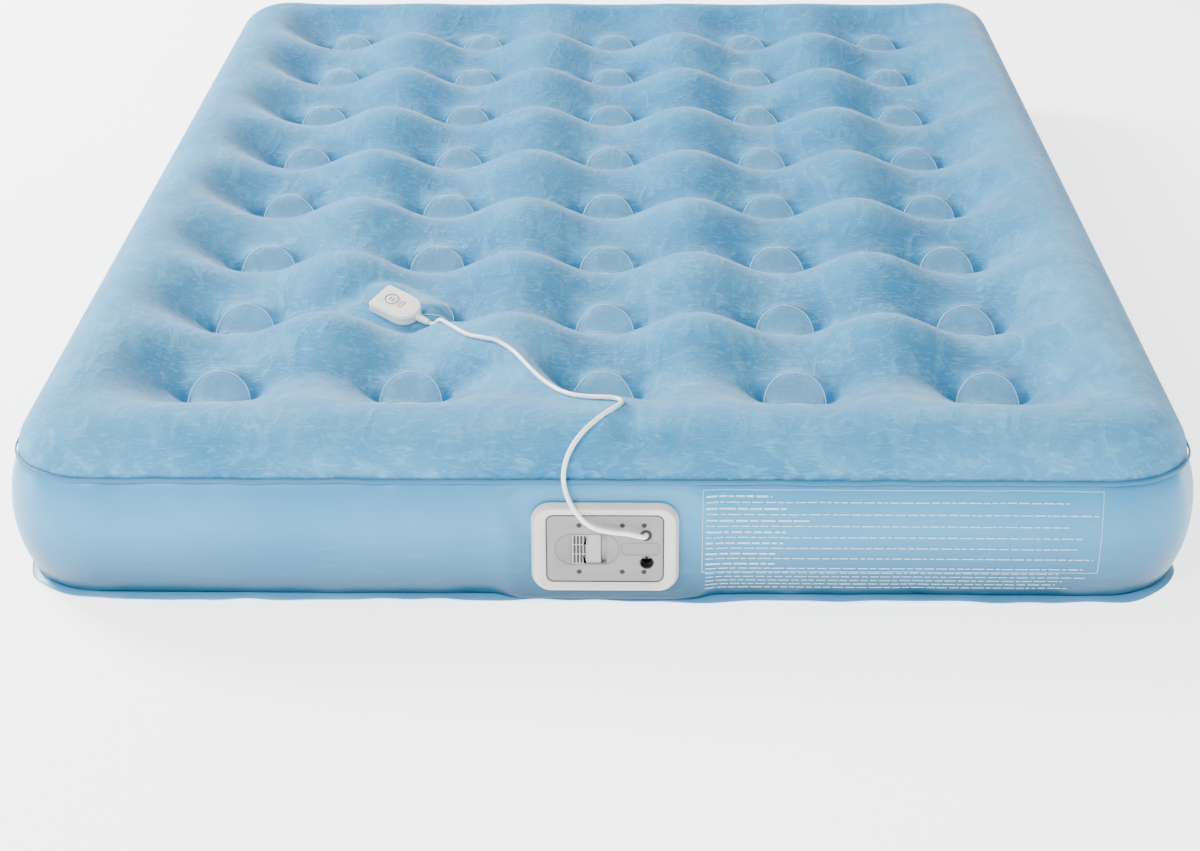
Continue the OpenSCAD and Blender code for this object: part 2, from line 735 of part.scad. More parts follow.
module handset_button() color([0.86, 0.84, 0.78]) in_hand()
    translate([button_at[0], button_at[1], 0]) {
        difference() {
            union() {
                translate([0, 0, 4]) cylinder(r = button_r, h = hand_t / 2 - 3.4);
                translate([0, 0, 3.9]) cylinder(r = button_r + 1.2, h = 1.3);
            }
            translate([0, 0, 3]) cylinder(r = button_r - 2, h = 3.2);
        }
        translate([0, 0, 2.9]) cylinder(r = 1.8, h = 4);
    }

module handset_switch() color([0.12, 0.12, 0.13]) in_hand()
    translate([button_at[0], button_at[1], 0]) {
        translate([-3, -3, -3.5]) cube([6, 6, 3.5]);
        translate([0, 0, -EPS]) cylinder(r = 1.7, h = 1.2);
    }

module handset_board() color([0.16, 0.42, 0.25]) in_hand()
    translate([-21, -10, -hand_t / 2 + 2.4]) cube([40, 20, 1.6]);

module handset_screws() color([0.70, 0.70, 0.72]) in_hand() for (p = hand_screws_at)
    translate([p[0], p[1], -hand_t / 2 + 1.2]) {
        cylinder(r = 2.1, h = 1.8);
        cylinder(r = 1.1, h = 9.5);
    }

module handset_strain_relief() color([0.93, 0.91, 0.86]) in_hand() rotate([0, 90, 0])
    difference() {
        union() {
            translate([0, 0, 26]) cylinder(r = 5.2, h = 2);
            translate([0, 0, 26]) cylinder(r = 4.6, h = 6.2);
            translate([0, 0, 32]) cylinder(r1 = 4.2, r2 = 3.6, h = relief_end - 32);
            for (i = [0:5]) translate([0, 0, 33 + 2.7 * i])
                cylinder(r = 5.1 - 0.16 * i, h = 1.5);
        }
        translate([0, 0, cord_start]) cylinder(r = cord_r + 0.15, h = 20);
    }

module remote_cord() color([0.94, 0.94, 0.92]) {
    ends = [for (p = cord_exit) hand_point(p)];
    tube_along(smooth_path(concat(ends, cord_route), 2), cord_r, 10);
}

top_sheet();
side_wall();
bottom_sheet();
top_seam();
bottom_hem();
top_weld_discs();
bottom_weld_discs();
coil_row(1);  // coil_row_1
coil_row(2);  // coil_row_2
coil_row(3);  // coil_row_3
coil_row(4);  // coil_row_4
coil_row(5);  // coil_row_5
coil_row(6);  // coil_row_6
coil_row(7);  // coil_row_7
coil_row(8);  // coil_row_8
pump_weld_flange();
pump_tub();
bezel_gasket();
pump_bezel();
faceplate();
housing_screws();
badge_plate();
cord_grommet();
power_inlet();
inlet_pins();
mode_slider();
slider_guide();
fan_shroud();
impeller();
motor_shaft();
motor_rotor();
motor_magnets();
motor_can();
motor_end_cap();
motor_bushes();
motor_bracket();
control_board();
relay();
capacitor();
transformer();
terminal_block();
motor_leads();
valve_seat();
valve_gasket();
valve_flap();
valve_hinge_pin();
valve_spring();
handset_top_shell();
handset_bottom_shell();
handset_button();
handset_switch();
handset_board();
handset_screws();
handset_strain_relief();
remote_cord();
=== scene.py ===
"""Looks of a double air bed with a dimpled flocked top, a pump panel and a corded handset.

Every length is in metres unless a name ends in _mm. The bed stands on z = 0, its pump end
faces -Y, and each class builds one sub-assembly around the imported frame.
"""

import json
import logging
import math
from dataclasses import dataclass, field
from enum import Enum

import bpy
import numpy as np
from mathutils import Matrix, Vector

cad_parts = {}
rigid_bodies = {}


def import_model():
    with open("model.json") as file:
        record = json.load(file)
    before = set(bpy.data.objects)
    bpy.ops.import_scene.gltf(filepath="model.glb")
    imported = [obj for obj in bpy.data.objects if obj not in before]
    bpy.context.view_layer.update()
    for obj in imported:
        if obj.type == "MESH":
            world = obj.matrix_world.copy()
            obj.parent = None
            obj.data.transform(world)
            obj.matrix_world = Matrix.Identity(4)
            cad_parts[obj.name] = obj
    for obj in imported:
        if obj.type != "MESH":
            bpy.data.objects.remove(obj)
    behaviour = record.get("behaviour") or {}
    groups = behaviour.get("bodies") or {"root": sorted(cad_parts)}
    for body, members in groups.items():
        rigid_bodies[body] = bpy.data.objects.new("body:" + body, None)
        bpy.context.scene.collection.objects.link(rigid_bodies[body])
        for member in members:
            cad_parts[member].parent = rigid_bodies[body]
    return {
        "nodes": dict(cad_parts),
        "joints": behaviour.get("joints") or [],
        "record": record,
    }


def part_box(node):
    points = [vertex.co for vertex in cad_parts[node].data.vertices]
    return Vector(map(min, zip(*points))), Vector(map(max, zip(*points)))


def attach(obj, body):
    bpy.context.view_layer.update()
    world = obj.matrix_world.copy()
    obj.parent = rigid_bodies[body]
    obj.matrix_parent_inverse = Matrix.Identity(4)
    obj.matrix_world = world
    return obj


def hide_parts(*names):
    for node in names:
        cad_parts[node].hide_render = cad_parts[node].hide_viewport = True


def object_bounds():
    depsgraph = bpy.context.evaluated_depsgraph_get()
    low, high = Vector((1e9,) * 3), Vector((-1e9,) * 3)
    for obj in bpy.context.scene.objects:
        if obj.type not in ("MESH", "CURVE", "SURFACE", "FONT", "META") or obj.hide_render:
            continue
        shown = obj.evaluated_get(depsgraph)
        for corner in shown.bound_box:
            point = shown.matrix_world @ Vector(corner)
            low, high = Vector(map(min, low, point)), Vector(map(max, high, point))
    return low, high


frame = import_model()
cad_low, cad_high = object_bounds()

log = logging.getLogger("air_bed")
MM = 0.001
SLOT_OF = {part["node"]: part["material_slot"] for part in frame["record"]["subparts"]}
FRONT = -0.955  # y of the pump end's widest point, where the panel's depths start

# The cord's free run, as the part has it, from the strain relief to the panel's grommet
CORD_ROUTE_MM = [
    (-205, -562, 192), (-191, -600, 202), (-167, -636, 204), (-144, -655, 207),
    (-128, -664, 207), (-107, -690, 205), (-88, -729, 203), (-70, -770, 204),
    (-50, -807, 207), (-30, -831, 211), (-10, -842, 214), (10, -848, 216),
    (21, -855, 217), (24, -865, 218), (18, -877, 218), (7, -891, 217),
    (-5, -904, 213), (-17, -917, 207), (-27, -928, 198), (-34, -936, 188),
    (-38, -942, 178), (-40, -947, 167), (-39, -952, 155), (-35, -958, 143),
    (-29, -962, 132), (-20, -964, 120), (-9, -965, 111), (4, -965, 106),
    (18, -966, 104), (32, -967, 103), (42, -968, 101), (49, -965, 98),
    (52, -958, 96), (52, -949, 95),
]


class Body(Enum):
    """The bodies of the part that the pieces here ride on."""

    ROOT = "root"
    SLIDER = "mode_slider"
    BUTTON = "handset_button"


# ---------- small helpers ----------


def smooth(low: float, high: float, x: np.ndarray) -> np.ndarray:
    """Smooth step from 0 at low to 1 at high; low may be the larger."""
    t = np.clip((x - low) / (high - low), 0.0, 1.0)
    return t * t * (3 - 2 * t)


def mesh_piece(name: str, points: np.ndarray, faces: list) -> bpy.types.Object:
    """Makes a mesh object from points and faces.

    Args:
        name: Name of the piece.
        points: Array of places, one row each.
        faces: Lists of point indices, anticlockwise from outside.

    Returns:
        The new object, linked to the scene and smooth-shaded.
    """
    mesh = bpy.data.meshes.new(name)
    mesh.from_pydata([tuple(p) for p in points], [], faces)
    mesh.validate()
    mesh.polygons.foreach_set("use_smooth", [True] * len(mesh.polygons))
    piece = bpy.data.objects.new(name, mesh)
    bpy.context.scene.collection.objects.link(piece)
    return piece


def only(piece: bpy.types.Object) -> None:
    """Makes a piece the one selected and active object."""
    for other in bpy.context.scene.objects:
        other.select_set(False)
    bpy.context.view_layer.objects.active = piece
    piece.select_set(True)


def apply_modifiers(piece: bpy.types.Object) -> None:
    """Applies all of a piece's modifiers in order."""
    only(piece)
    for modifier in list(piece.modifiers):
        bpy.ops.object.modifier_apply(modifier=modifier.name)


def settle(piece: bpy.types.Object) -> None:
    """Moves an object's place, turn and scale into its mesh."""
    only(piece)
    bpy.ops.object.transform_apply(location=True, rotation=True, scale=True)


def grid_faces(rows: int, columns: int, closed: bool = False) -> list:
    """Quads of a rows x columns grid of points, row by row.

    Args:
        rows: Number of rows of points.
        columns: Number of points in a row.
        closed: Whether the last column joins the first.

    Returns:
        Four point numbers for each face.
    """
    across = columns if closed else columns - 1
    return [
        [i * columns + j, i * columns + (j + 1) % columns,
         (i + 1) * columns + (j + 1) % columns, (i + 1) * columns + j]
        for i in range(rows - 1) for j in range(across)
    ]


def catmull_rom(points: np.ndarray, steps: int) -> np.ndarray:
    """A smooth curve through the points, with a number of steps in each span."""
    padded = np.vstack([points[0], points, points[-1]])
    line = []
    for i in range(len(points) - 1):
        a, b, c, d = padded[i:i + 4]
        for t in np.arange(steps) / steps:
            line.append(0.5 * (2 * b + (c - a) * t + (2 * a - 5 * b + 4 * c - d) * t ** 2
                               + (3 * b - a - 3 * c + d) * t ** 3))
    return np.array(line + [points[-1]])


# ---------- shaders ----------


class Socket:
    """A shader value that arithmetic is written on."""

    def __init__(self, tree: bpy.types.NodeTree, output: bpy.types.NodeSocket) -> None:
        """Wraps one output socket of a node tree."""
        self.tree = tree
        self.output = output

    def math(self, operation: str, first: object, second: object = 0.0) -> "Socket":
        """Adds a Math node on two sockets or numbers."""
        node = self.tree.nodes.new("ShaderNodeMath")
        node.operation = operation
        for slot, value in zip(node.inputs, (first, second)):
            if isinstance(value, Socket):
                self.tree.links.new(value.output, slot)
            else:
                slot.default_value = value
        return Socket(self.tree, node.outputs[0])

    def __add__(self, other: object) -> "Socket":
        """Sum."""
        return self.math("ADD", self, other)

    __radd__ = __add__

    def __sub__(self, other: object) -> "Socket":
        """Difference."""
        return self.math("SUBTRACT", self, other)

    def __rsub__(self, other: object) -> "Socket":
        """Reflected difference."""
        return self.math("SUBTRACT", other, self)

    def __mul__(self, other: object) -> "Socket":
        """Product."""
        return self.math("MULTIPLY", self, other)

    __rmul__ = __mul__

    def __truediv__(self, other: object) -> "Socket":
        """Quotient."""
        return self.math("DIVIDE", self, other)

    def above(self, limit: object) -> "Socket":
        """1 where the value is above the limit, else 0."""
        return self.math("GREATER_THAN", self, limit)

    def ramp(self, low: float, high: float) -> "Socket":
        """Straight rise from 0 at low to 1 at high, held outside them."""
        scaled = (self - low) / (high - low)
        return self.math("MINIMUM", self.math("MAXIMUM", scaled, 0.0), 1.0)


class Finish:
    """A material under construction: its tree, its shader and its nodes."""

    def __init__(self, name: str) -> None:
        """Starts an empty material with a Principled shader."""
        self.material = bpy.data.materials.new(name)
        self.material.use_nodes = True
        self.tree = self.material.node_tree
        self.shader = self.tree.nodes["Principled BSDF"]

    def node(self, kind: str, settings: dict | None = None, output: int | str = 0,
             **inputs: object) -> Socket:
        """Adds a node.

        Args:
            kind: Node type, without the ShaderNode prefix.
            settings: Node properties, set before its sockets.
            output: Index or name of the output to return.
            **inputs: Values or sockets by input name, with _ for a space.

        Returns:
            The chosen output.
        """
        node = self.tree.nodes.new("ShaderNode" + kind)
        for key, value in (settings or {}).items():
            setattr(node, key, value)
        for key, value in inputs.items():
            self.feed(self.find_input(node, key), value)
        return Socket(self.tree, node.outputs[output])

    @staticmethod
    def find_input(node: bpy.types.Node, key: str) -> bpy.types.NodeSocket:
        """The enabled input of that name, with _ for a space."""
        wanted = key.replace("_", " ")
        return next(s for s in node.inputs if s.name == wanted and s.enabled)

    def feed(self, slot: bpy.types.NodeSocket, value: object) -> None:
        """Links a socket, or sets a value."""
        if isinstance(value, Socket):
            self.tree.links.new(value.output, slot)
        elif isinstance(value, tuple) and len(value) == 3 and slot.type == "RGBA":
            slot.default_value = (*value, 1.0)
        else:
            slot.default_value = value

    def set(self, **inputs: object) -> None:
        """Feeds the shader's own sockets by name."""
        for key, value in inputs.items():
            self.feed(self.find_input(self.shader, key), value)

    def place(self) -> Socket:
        """Object coordinates."""
        return self.node("TexCoord", output="Object")

    def axis(self, index: int) -> Socket:
        """One of the object coordinates, 0 to 2."""
        return self.node("SeparateXYZ", output=index, Vector=self.place())

    def noise(self, scale: float, detail: float = 2.0, stretch: tuple = (1, 1, 1),
              swirl: float = 0.0) -> Socket:
        """Noise about 0.5, at a number of cells per metre, stretched on each axis and swirled."""
        spot = self.node("Mapping", Vector=self.place(), Scale=stretch)
        return self.node("TexNoise", Vector=spot, Scale=scale, Detail=detail, Distortion=swirl)

    def mix(self, share: object, first: object, second: object) -> Socket:
        """Blend of two colours."""
        return self.node("Mix", {"data_type": "RGBA"}, output=2, Factor=share, A=first, B=second)

    def bump(self, height: Socket, distance: float, strength: float = 1.0,
             below: Socket | None = None) -> Socket:
        """A normal from a height, over another normal if there is one."""
        extra = {"Normal": below} if below else {}
        return self.node("Bump", Height=height, Distance=distance, Strength=strength, **extra)


@dataclass(frozen=True)
class FlockedTop:
    """Brushed flock: a short velvet pile with nap swirls, and hollows darkened by painted shade.
    """

    base: tuple = (0.024, 0.235, 0.460)
    pale: tuple = (0.150, 0.490, 0.730)
    disc_highlight: tuple = (0.310, 0.640, 0.840)
    hollow_shade: tuple = (0.008, 0.125, 0.290)
    rear_shade: tuple = (0.006, 0.150, 0.340)
    hollow_z: float = 0.145
    crown_z: float = 0.212
    pitch: tuple = (0.232, 0.212)
    first: tuple = (0.0, -0.701)
    patch: tuple = (0.038, 0.0235)

    def build(self, name: str) -> bpy.types.Material:
        """Makes the material."""
        f = Finish(name)
        height = f.axis(2).ramp(self.hollow_z, self.crown_z)
        swirls = f.noise(9.0, 5.0, (1.0, 1.5, 1.0)).ramp(0.38, 0.64)
        sweep = f.noise(30.0, 5.0, (1.0, 0.5, 1.0), 1.6).ramp(0.47, 0.66)
        strokes = f.noise(110.0, 5.0, (0.30, 1.0, 1.0), 2.6).ramp(0.52, 0.68)
        pile = f.noise(1500.0, 1.0)
        disc, pinch_shade = self.weld_masks(f)
        # painted shade: the colour darkens from the crowns down into the hollows
        low = f.mix(height, self.hollow_shade, self.base)
        marks = swirls * 0.24 + sweep * 0.20 + strokes * 0.34 + pile * 0.10
        brushed = f.mix(marks, low, self.pale)
        # painted shade: the colour darkens towards the rear, leaving the front lighter
        brushed = f.mix(f.axis(1).ramp(-0.65, 0.95) * 0.42, brushed, self.rear_shade)
        # painted highlight: the visible rear half of each weld disc is lightened
        welded = f.mix(disc * 0.34, brushed, self.disc_highlight)
        ground = f.bump(pile, 0.0006, 0.5)
        # painted shade: the pinched ends of each weld's fold are darkened
        f.set(Base_Color=f.mix(pinch_shade * 0.75, welded, self.hollow_shade), Roughness=0.86 + strokes * 0.08,
              Normal=f.bump(swirls * 0.6 + sweep * 0.8 + strokes * 0.5, 0.0016, 0.55, ground))
        f.shader.inputs["Sheen Weight"].default_value = 0.30
        f.shader.inputs["Sheen Roughness"].default_value = 0.40
        f.shader.inputs["Sheen Tint"].default_value = (0.62, 0.86, 1.0, 1.0)
        f.shader.inputs["Sheen Roughness"].default_value = 0.42
        f.shader.inputs["Sheen Tint"].default_value = (0.80, 0.90, 1.0, 1.0)
        f.shader.inputs["Specular IOR Level"].default_value = 0.25
        return f.material


    def weld_masks(self, f: Finish) -> tuple:
        """Painted highlight on each coil's weld disc, and painted shade at its fold's pinched
        ends.

        Args:
            f: The material under construction.

        Returns:
            Masks of the weld discs and of the pinched ends.
        """
        off = []
        for index in (0, 1):
            pitch, first = self.pitch[index], self.first[index]
            cell = f.axis(index).math("FLOORED_MODULO", f.axis(index) - (first - pitch / 2), pitch)
            off.append(cell - pitch / 2)
        on_bed = f.axis(1).above(-0.80) * (1.0 - f.axis(1).above(0.88)) \
            * (1.0 - f.axis(0).math("ABSOLUTE", f.axis(0)).above(0.57))
        across = off[0] * (1 / self.patch[0])
        along = off[1] * (1 / self.patch[1])
        round_off = across * across + along * along
        disc = (1.0 - round_off.ramp(0.86, 1.02)) * on_bed * off[1].above(-0.004)
        end = off[0].math("ABSOLUTE", off[0]) - 0.042
        pinch = end * end * (1 / 0.009 ** 2) + off[1] * off[1] * (1 / 0.012 ** 2)
        return disc, (1.0 - pinch.ramp(0.1, 1.0)) * on_bed


@dataclass(frozen=True)
class CoatedVinyl:
    """Satin vinyl film: faint calender streaks, scuffs, a soft coat and painted shade towards the
    floor.
    """

    colour: tuple
    pale: tuple
    roughness: float = 0.42
    floor_shade: float = 1.0

    def build(self, name: str) -> bpy.types.Material:
        """Makes the material."""
        f = Finish(name)
        foot = f.axis(2).ramp(0.004, 0.100)
        clouds = f.noise(5.0, 3.0).ramp(0.30, 0.70) * foot
        grain = f.noise(900.0, 2.0)
        scuffs = f.noise(60.0, 4.0, (0.3, 0.3, 1.6)).ramp(0.55, 0.80)
        # painted shade: the colour darkens towards the floor by floor_shade
        shaded = tuple(c * self.floor_shade for c in self.colour)
        tone = f.mix(foot, shaded, self.colour)
        f.set(Base_Color=f.mix(clouds * 0.30 + scuffs * 0.12, tone, self.pale),
              Roughness=self.roughness + scuffs * 0.14 + clouds * 0.05,
              Normal=f.bump(grain + clouds * 2.0, 0.00035, 0.5))
        f.shader.inputs["Specular IOR Level"].default_value = 0.35
        f.shader.inputs["Coat Weight"].default_value = 0.08
        f.shader.inputs["Coat Roughness"].default_value = 0.18
        return f.material


@dataclass(frozen=True)
class MouldedPlastic:
    """Spark-textured moulding, a little darker and glossier where it is handled."""

    colour: tuple
    roughness: float = 0.50
    texture: float = 0.00012
    subsurface: float = 0.0

    def build(self, name: str) -> bpy.types.Material:
        """Makes the material."""
        f = Finish(name)
        spark = f.noise(2600.0, 1.0)
        clouds = f.noise(28.0, 3.0).ramp(0.32, 0.70)
        worn = tuple(c * 0.90 for c in self.colour)
        f.set(Base_Color=f.mix(clouds, self.colour, worn),
              Roughness=self.roughness - clouds * 0.08 + spark * 0.06,
              Normal=f.bump(spark, self.texture, 0.6))
        f.shader.inputs["Subsurface Weight"].default_value = self.subsurface
        f.shader.inputs["Subsurface Scale"].default_value = 0.004
        return f.material


@dataclass(frozen=True)
class BareMetal:
    """Turned or drawn metal with fine tool lines along one axis."""

    colour: tuple
    roughness: float = 0.30
    lines: tuple = (1.0, 12.0, 1.0)

    def build(self, name: str) -> bpy.types.Material:
        """Makes the material."""
        f = Finish(name)
        marks = f.noise(420.0, 2.0, self.lines)
        stains = f.noise(60.0, 3.0).ramp(0.45, 0.75)
        dull = tuple(c * 0.72 for c in self.colour)
        f.set(Base_Color=f.mix(stains, self.colour, dull), Metallic=1.0,
              Roughness=self.roughness + marks * 0.12 + stains * 0.10,
              Normal=f.bump(marks, 0.00006, 0.5))
        return f.material


@dataclass(frozen=True)
class Winding:
    """Varnished copper wire laid in turns."""

    colour: tuple
    turns_per_metre: float = 2200.0

    def build(self, name: str) -> bpy.types.Material:
        """Makes the material."""
        f = Finish(name)
        wave = f.node("TexWave", {"bands_direction": "Y"}, output=1, Vector=f.place(),
                      Scale=self.turns_per_metre / 6.283, Distortion=0.4)
        # painted shade: the bands between the turns are darkened
        dark = tuple(c * 0.45 for c in self.colour)
        f.set(Base_Color=f.mix(wave, dark, self.colour), Metallic=0.75, Roughness=0.35,
              Normal=f.bump(wave, 0.0002, 0.7))
        return f.material


@dataclass(frozen=True)
class CircuitBoard:
    """Solder mask over copper tracks, which a coarse brick pattern stands for."""

    colour: tuple
    track: tuple = (0.10, 0.34, 0.15)

    def build(self, name: str) -> bpy.types.Material:
        """Makes the material."""
        f = Finish(name)
        tracks = f.node("TexBrick", output=1, Vector=f.place(), Scale=160.0,
                        Mortar_Size=0.03, Bias=0.0)
        f.set(Base_Color=f.mix(tracks, self.colour, self.track), Roughness=0.38,
              Normal=f.bump(tracks, 0.00008, 0.6))
        return f.material


FINISHES = {
    "flocked_top": FlockedTop(),
    "wall_vinyl": CoatedVinyl((0.026, 0.235, 0.455), (0.110, 0.400, 0.630), 0.34,
                              floor_shade=0.14),
    "base_vinyl": CoatedVinyl((0.080, 0.250, 0.430), (0.160, 0.350, 0.530), 0.55),
    "seam_vinyl": CoatedVinyl((0.020, 0.150, 0.300), (0.060, 0.260, 0.440), 0.50),
    "hem_vinyl": CoatedVinyl((0.060, 0.240, 0.430), (0.300, 0.540, 0.700), 0.38),
    "coil_vinyl": CoatedVinyl((0.420, 0.560, 0.680), (0.560, 0.670, 0.760), 0.50),
    "collar_vinyl": CoatedVinyl((0.160, 0.370, 0.580), (0.320, 0.530, 0.700), 0.42),
    "tub_plastic": MouldedPlastic((0.56, 0.55, 0.52), 0.55),
    "black_rubber": MouldedPlastic((0.018, 0.018, 0.020), 0.62),
    "bezel_plastic": MouldedPlastic((0.66, 0.64, 0.60), 0.46),
    "plate_plastic": MouldedPlastic((0.265, 0.258, 0.252), 0.50),
    "badge_plastic": MouldedPlastic((0.235, 0.228, 0.224), 0.36),
    "slider_plastic": MouldedPlastic((0.44, 0.43, 0.42), 0.44),
    # painted shade: near black, so the screw heads read as dark holes
    "screw_steel": MouldedPlastic((0.012, 0.012, 0.012), 0.60),
    "black_plastic": MouldedPlastic((0.022, 0.022, 0.026), 0.38),
    "contact_brass": BareMetal((0.74, 0.58, 0.30), 0.24),
    "fan_plastic": MouldedPlastic((0.52, 0.53, 0.54), 0.48),
    "shaft_steel": BareMetal((0.66, 0.66, 0.68), 0.18),
    "winding_copper": Winding((0.62, 0.28, 0.11)),
    "magnet_dark": MouldedPlastic((0.05, 0.05, 0.055), 0.66),
    "can_steel": BareMetal((0.54, 0.55, 0.58), 0.28),
    "board_green": CircuitBoard((0.025, 0.16, 0.065)),
    "relay_blue": MouldedPlastic((0.03, 0.08, 0.32), 0.30),
    "lead_red": MouldedPlastic((0.52, 0.03, 0.02), 0.38),
    "flap_rubber": MouldedPlastic((0.60, 0.60, 0.56), 0.58),
    "handset_plastic": MouldedPlastic((0.97, 0.94, 0.89), 0.34, 0.00006, 0.0),
    "cord_vinyl": MouldedPlastic((1.0, 1.0, 0.99), 0.26, 0.00004, 0.0),
    "gap_shadow": MouldedPlastic((0.030, 0.029, 0.028), 0.70),
    "line_shadow": MouldedPlastic((0.17, 0.165, 0.16), 0.60),
    # painted highlight: the pale colour of the bead round each weld disc
    "weld_rim": CoatedVinyl((0.420, 0.680, 0.830), (0.520, 0.760, 0.880), 0.60),
    "label_print": MouldedPlastic((0.40, 0.66, 0.80), 0.55, 0.00003),
    "symbol_grey": MouldedPlastic((0.025, 0.025, 0.028), 0.50, 0.00003),
}


class Wardrobe:
    """Hands out one material per finish, made when it is first asked for."""

    def __init__(self) -> None:
        """Starts with no material made."""
        self.made: dict = {}

    def material(self, finish: str) -> bpy.types.Material:
        """The material of a finish."""
        if finish not in self.made:
            self.made[finish] = FINISHES[finish].build(finish)
        return self.made[finish]

    def dress(self, piece: bpy.types.Object, finish: str) -> None:
        """Gives a piece one finish all over."""
        piece.data.materials.clear()
        piece.data.materials.append(self.material(finish))

    def dress_frame(self) -> None:
        """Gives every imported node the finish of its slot."""
        for name, node in frame["nodes"].items():
            self.dress(node, SLOT_OF[name])


def take_place(piece: bpy.types.Object, place: Body, slot: str, *nodes: str) -> None:
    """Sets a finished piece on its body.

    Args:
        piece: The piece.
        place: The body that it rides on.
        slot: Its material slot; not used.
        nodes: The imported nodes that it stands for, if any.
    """
    body = place.value
    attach(piece, body)
    if nodes:
        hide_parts(*nodes)
    log.info("%s: %d faces on %s", piece.name, len(getattr(piece.data, "polygons", [])), body)


# ---------- the bed's outline ----------


@dataclass
class BedOutline:
    """The bed's plan at the widest point of its bulge, walked from the front left corner round."""

    half_w: float = cad_high.x
    half_l: float = -FRONT
    corner_r: float = 0.115
    step: float = 0.010
    corner_steps: int = 20

    def walk(self) -> tuple:
        """Places and outward directions round the outline.

        Returns:
            Plan points, unit normals and distance walked, one row each, anticlockwise from above.
        """
        flat_w, flat_l = self.half_w - self.corner_r, self.half_l - self.corner_r
        points, normals = [], []
        runs = [((-flat_w, -flat_l), 270, 2 * flat_w), ((flat_w, -flat_l), 0, 2 * flat_l),
                ((flat_w, flat_l), 90, 2 * flat_w), ((-flat_w, flat_l), 180, 2 * flat_l)]
        for (x, y), facing, length in runs:
            a = math.radians(facing)
            out = np.array([math.cos(a), math.sin(a)])
            along = np.array([-out[1], out[0]])
            count = round(length / self.step)
            for i in range(count):
                points.append(np.array([x, y]) + out * self.corner_r + along * length * i / count)
                normals.append(out)
            corner = np.array([x, y]) + along * length
            for i in range(self.corner_steps):
                b = a + math.radians(90) * i / self.corner_steps
                turned = np.array([math.cos(b), math.sin(b)])
                points.append(corner + turned * self.corner_r)
                normals.append(turned)
        points, normals = np.array(points), np.array(normals)
        gaps = np.linalg.norm(np.diff(points, axis=0), axis=1)
        return points, normals, np.concatenate([[0.0], np.cumsum(gaps)])

    def corners_near(self, points: np.ndarray) -> np.ndarray:
        """1 at the outline's corners, falling to 0 a hand's width along the straight runs."""
        to_corner = np.hypot(self.half_w - self.corner_r - abs(points[:, 0]),
                             self.half_l - self.corner_r - abs(points[:, 1]))
        return smooth(self.corner_r * 2.2, self.corner_r * 1.02, to_corner)


@dataclass
class Puckers:
    """Short creases that run down or up from a weld, all round the bed."""

    seed: int
    count: int
    depth: float
    width: float
    reach: float

    def field(self, walked: np.ndarray, away: np.ndarray) -> np.ndarray:
        """How far the creases draw the wall in.

        Args:
            walked: Distance along the weld of each column.
            away: Distance from the weld of each row.

        Returns:
            A rows x columns array of depths.
        """
        r = np.random.default_rng(self.seed)
        total = walked[-1]
        at = r.uniform(0, total, self.count)
        depths = self.depth * r.uniform(0.3, 1.0, self.count) * r.choice([1, -0.6], self.count)
        widths = self.width * r.uniform(0.6, 1.6, self.count)
        reaches = self.reach * r.uniform(0.4, 1.4, self.count)
        leans = r.uniform(-0.5, 0.5, self.count)
        out = np.zeros((len(away), len(walked)))
        for i in range(self.count):
            gap = walked[None, :] - at[i] - leans[i] * away[:, None]
            gap = (gap + total / 2) % total - total / 2
            ridge = depths[i] * np.exp(-(gap / widths[i]) ** 2)
            out += ridge * np.exp(-away[:, None] / reaches[i])
        return out


OUTLINE = BedOutline()


# ---------- soft parts of the bed ----------


@dataclass
class QuiltGrid:
    """A sheet's grid in its own flat shape, and the way it wraps over a rolled edge."""

    flat_half_w: float = OUTLINE.half_w - OUTLINE.corner_r
    flat_half_l: float = OUTLINE.half_l - OUTLINE.corner_r
    corner_flat_r: float = 0.0414
    roll_r: float = 0.062
    roll_arc: float = 0.0944
    cell: float = 0.007

    def lattice(self) -> tuple:
        """The grid's x and y in the flattened sheet, its square corners drawn in to round ones."""
        rim = self.corner_flat_r + self.roll_arc
        half_w, half_l = self.flat_half_w + rim, self.flat_half_l + rim
        nx, ny = round(2 * half_w / self.cell), round(2 * half_l / self.cell)
        x, y = np.meshgrid(np.linspace(-half_w, half_w, nx + 1),
                           np.linspace(-half_l, half_l, ny + 1), indexing="xy")
        u = np.clip((abs(x) - self.flat_half_w) / rim, 0, 1)
        v = np.clip((abs(y) - self.flat_half_l) / rim, 0, 1)
        round_x, round_y = np.sqrt(1 - v * v / 2), np.sqrt(1 - u * u / 2)
        x_in = np.sign(x) * (np.minimum(abs(x), self.flat_half_w) + rim * u * round_x)
        y_in = np.sign(y) * (np.minimum(abs(y), self.flat_half_l) + rim * v * round_y)
        return x_in, y_in

    def wrap(self, x: np.ndarray, y: np.ndarray) -> tuple:
        """Wraps flat places over the rolled edge.

        Args:
            x: Flat x of each point.
            y: Flat y of each point.

        Returns:
            Plan x and y, drop below the deck, and the three parts of the outward direction.
        """
        core_x = np.clip(x, -self.flat_half_w, self.flat_half_w)
        core_y = np.clip(y, -self.flat_half_l, self.flat_half_l)
        dx, dy = x - core_x, y - core_y
        out = np.hypot(dx, dy)
        safe = np.maximum(out, 1e-9)
        nx, ny = dx / safe, dy / safe
        arc = np.maximum(out - self.corner_flat_r, 0.0)
        angle = arc / self.roll_r
        reach = np.minimum(out, self.corner_flat_r) + self.roll_r * np.sin(angle)
        drop = self.roll_r * (1 - np.cos(angle))
        return (core_x + nx * reach, core_y + ny * reach, drop,
                nx * np.sin(angle), ny * np.sin(angle), np.cos(angle))


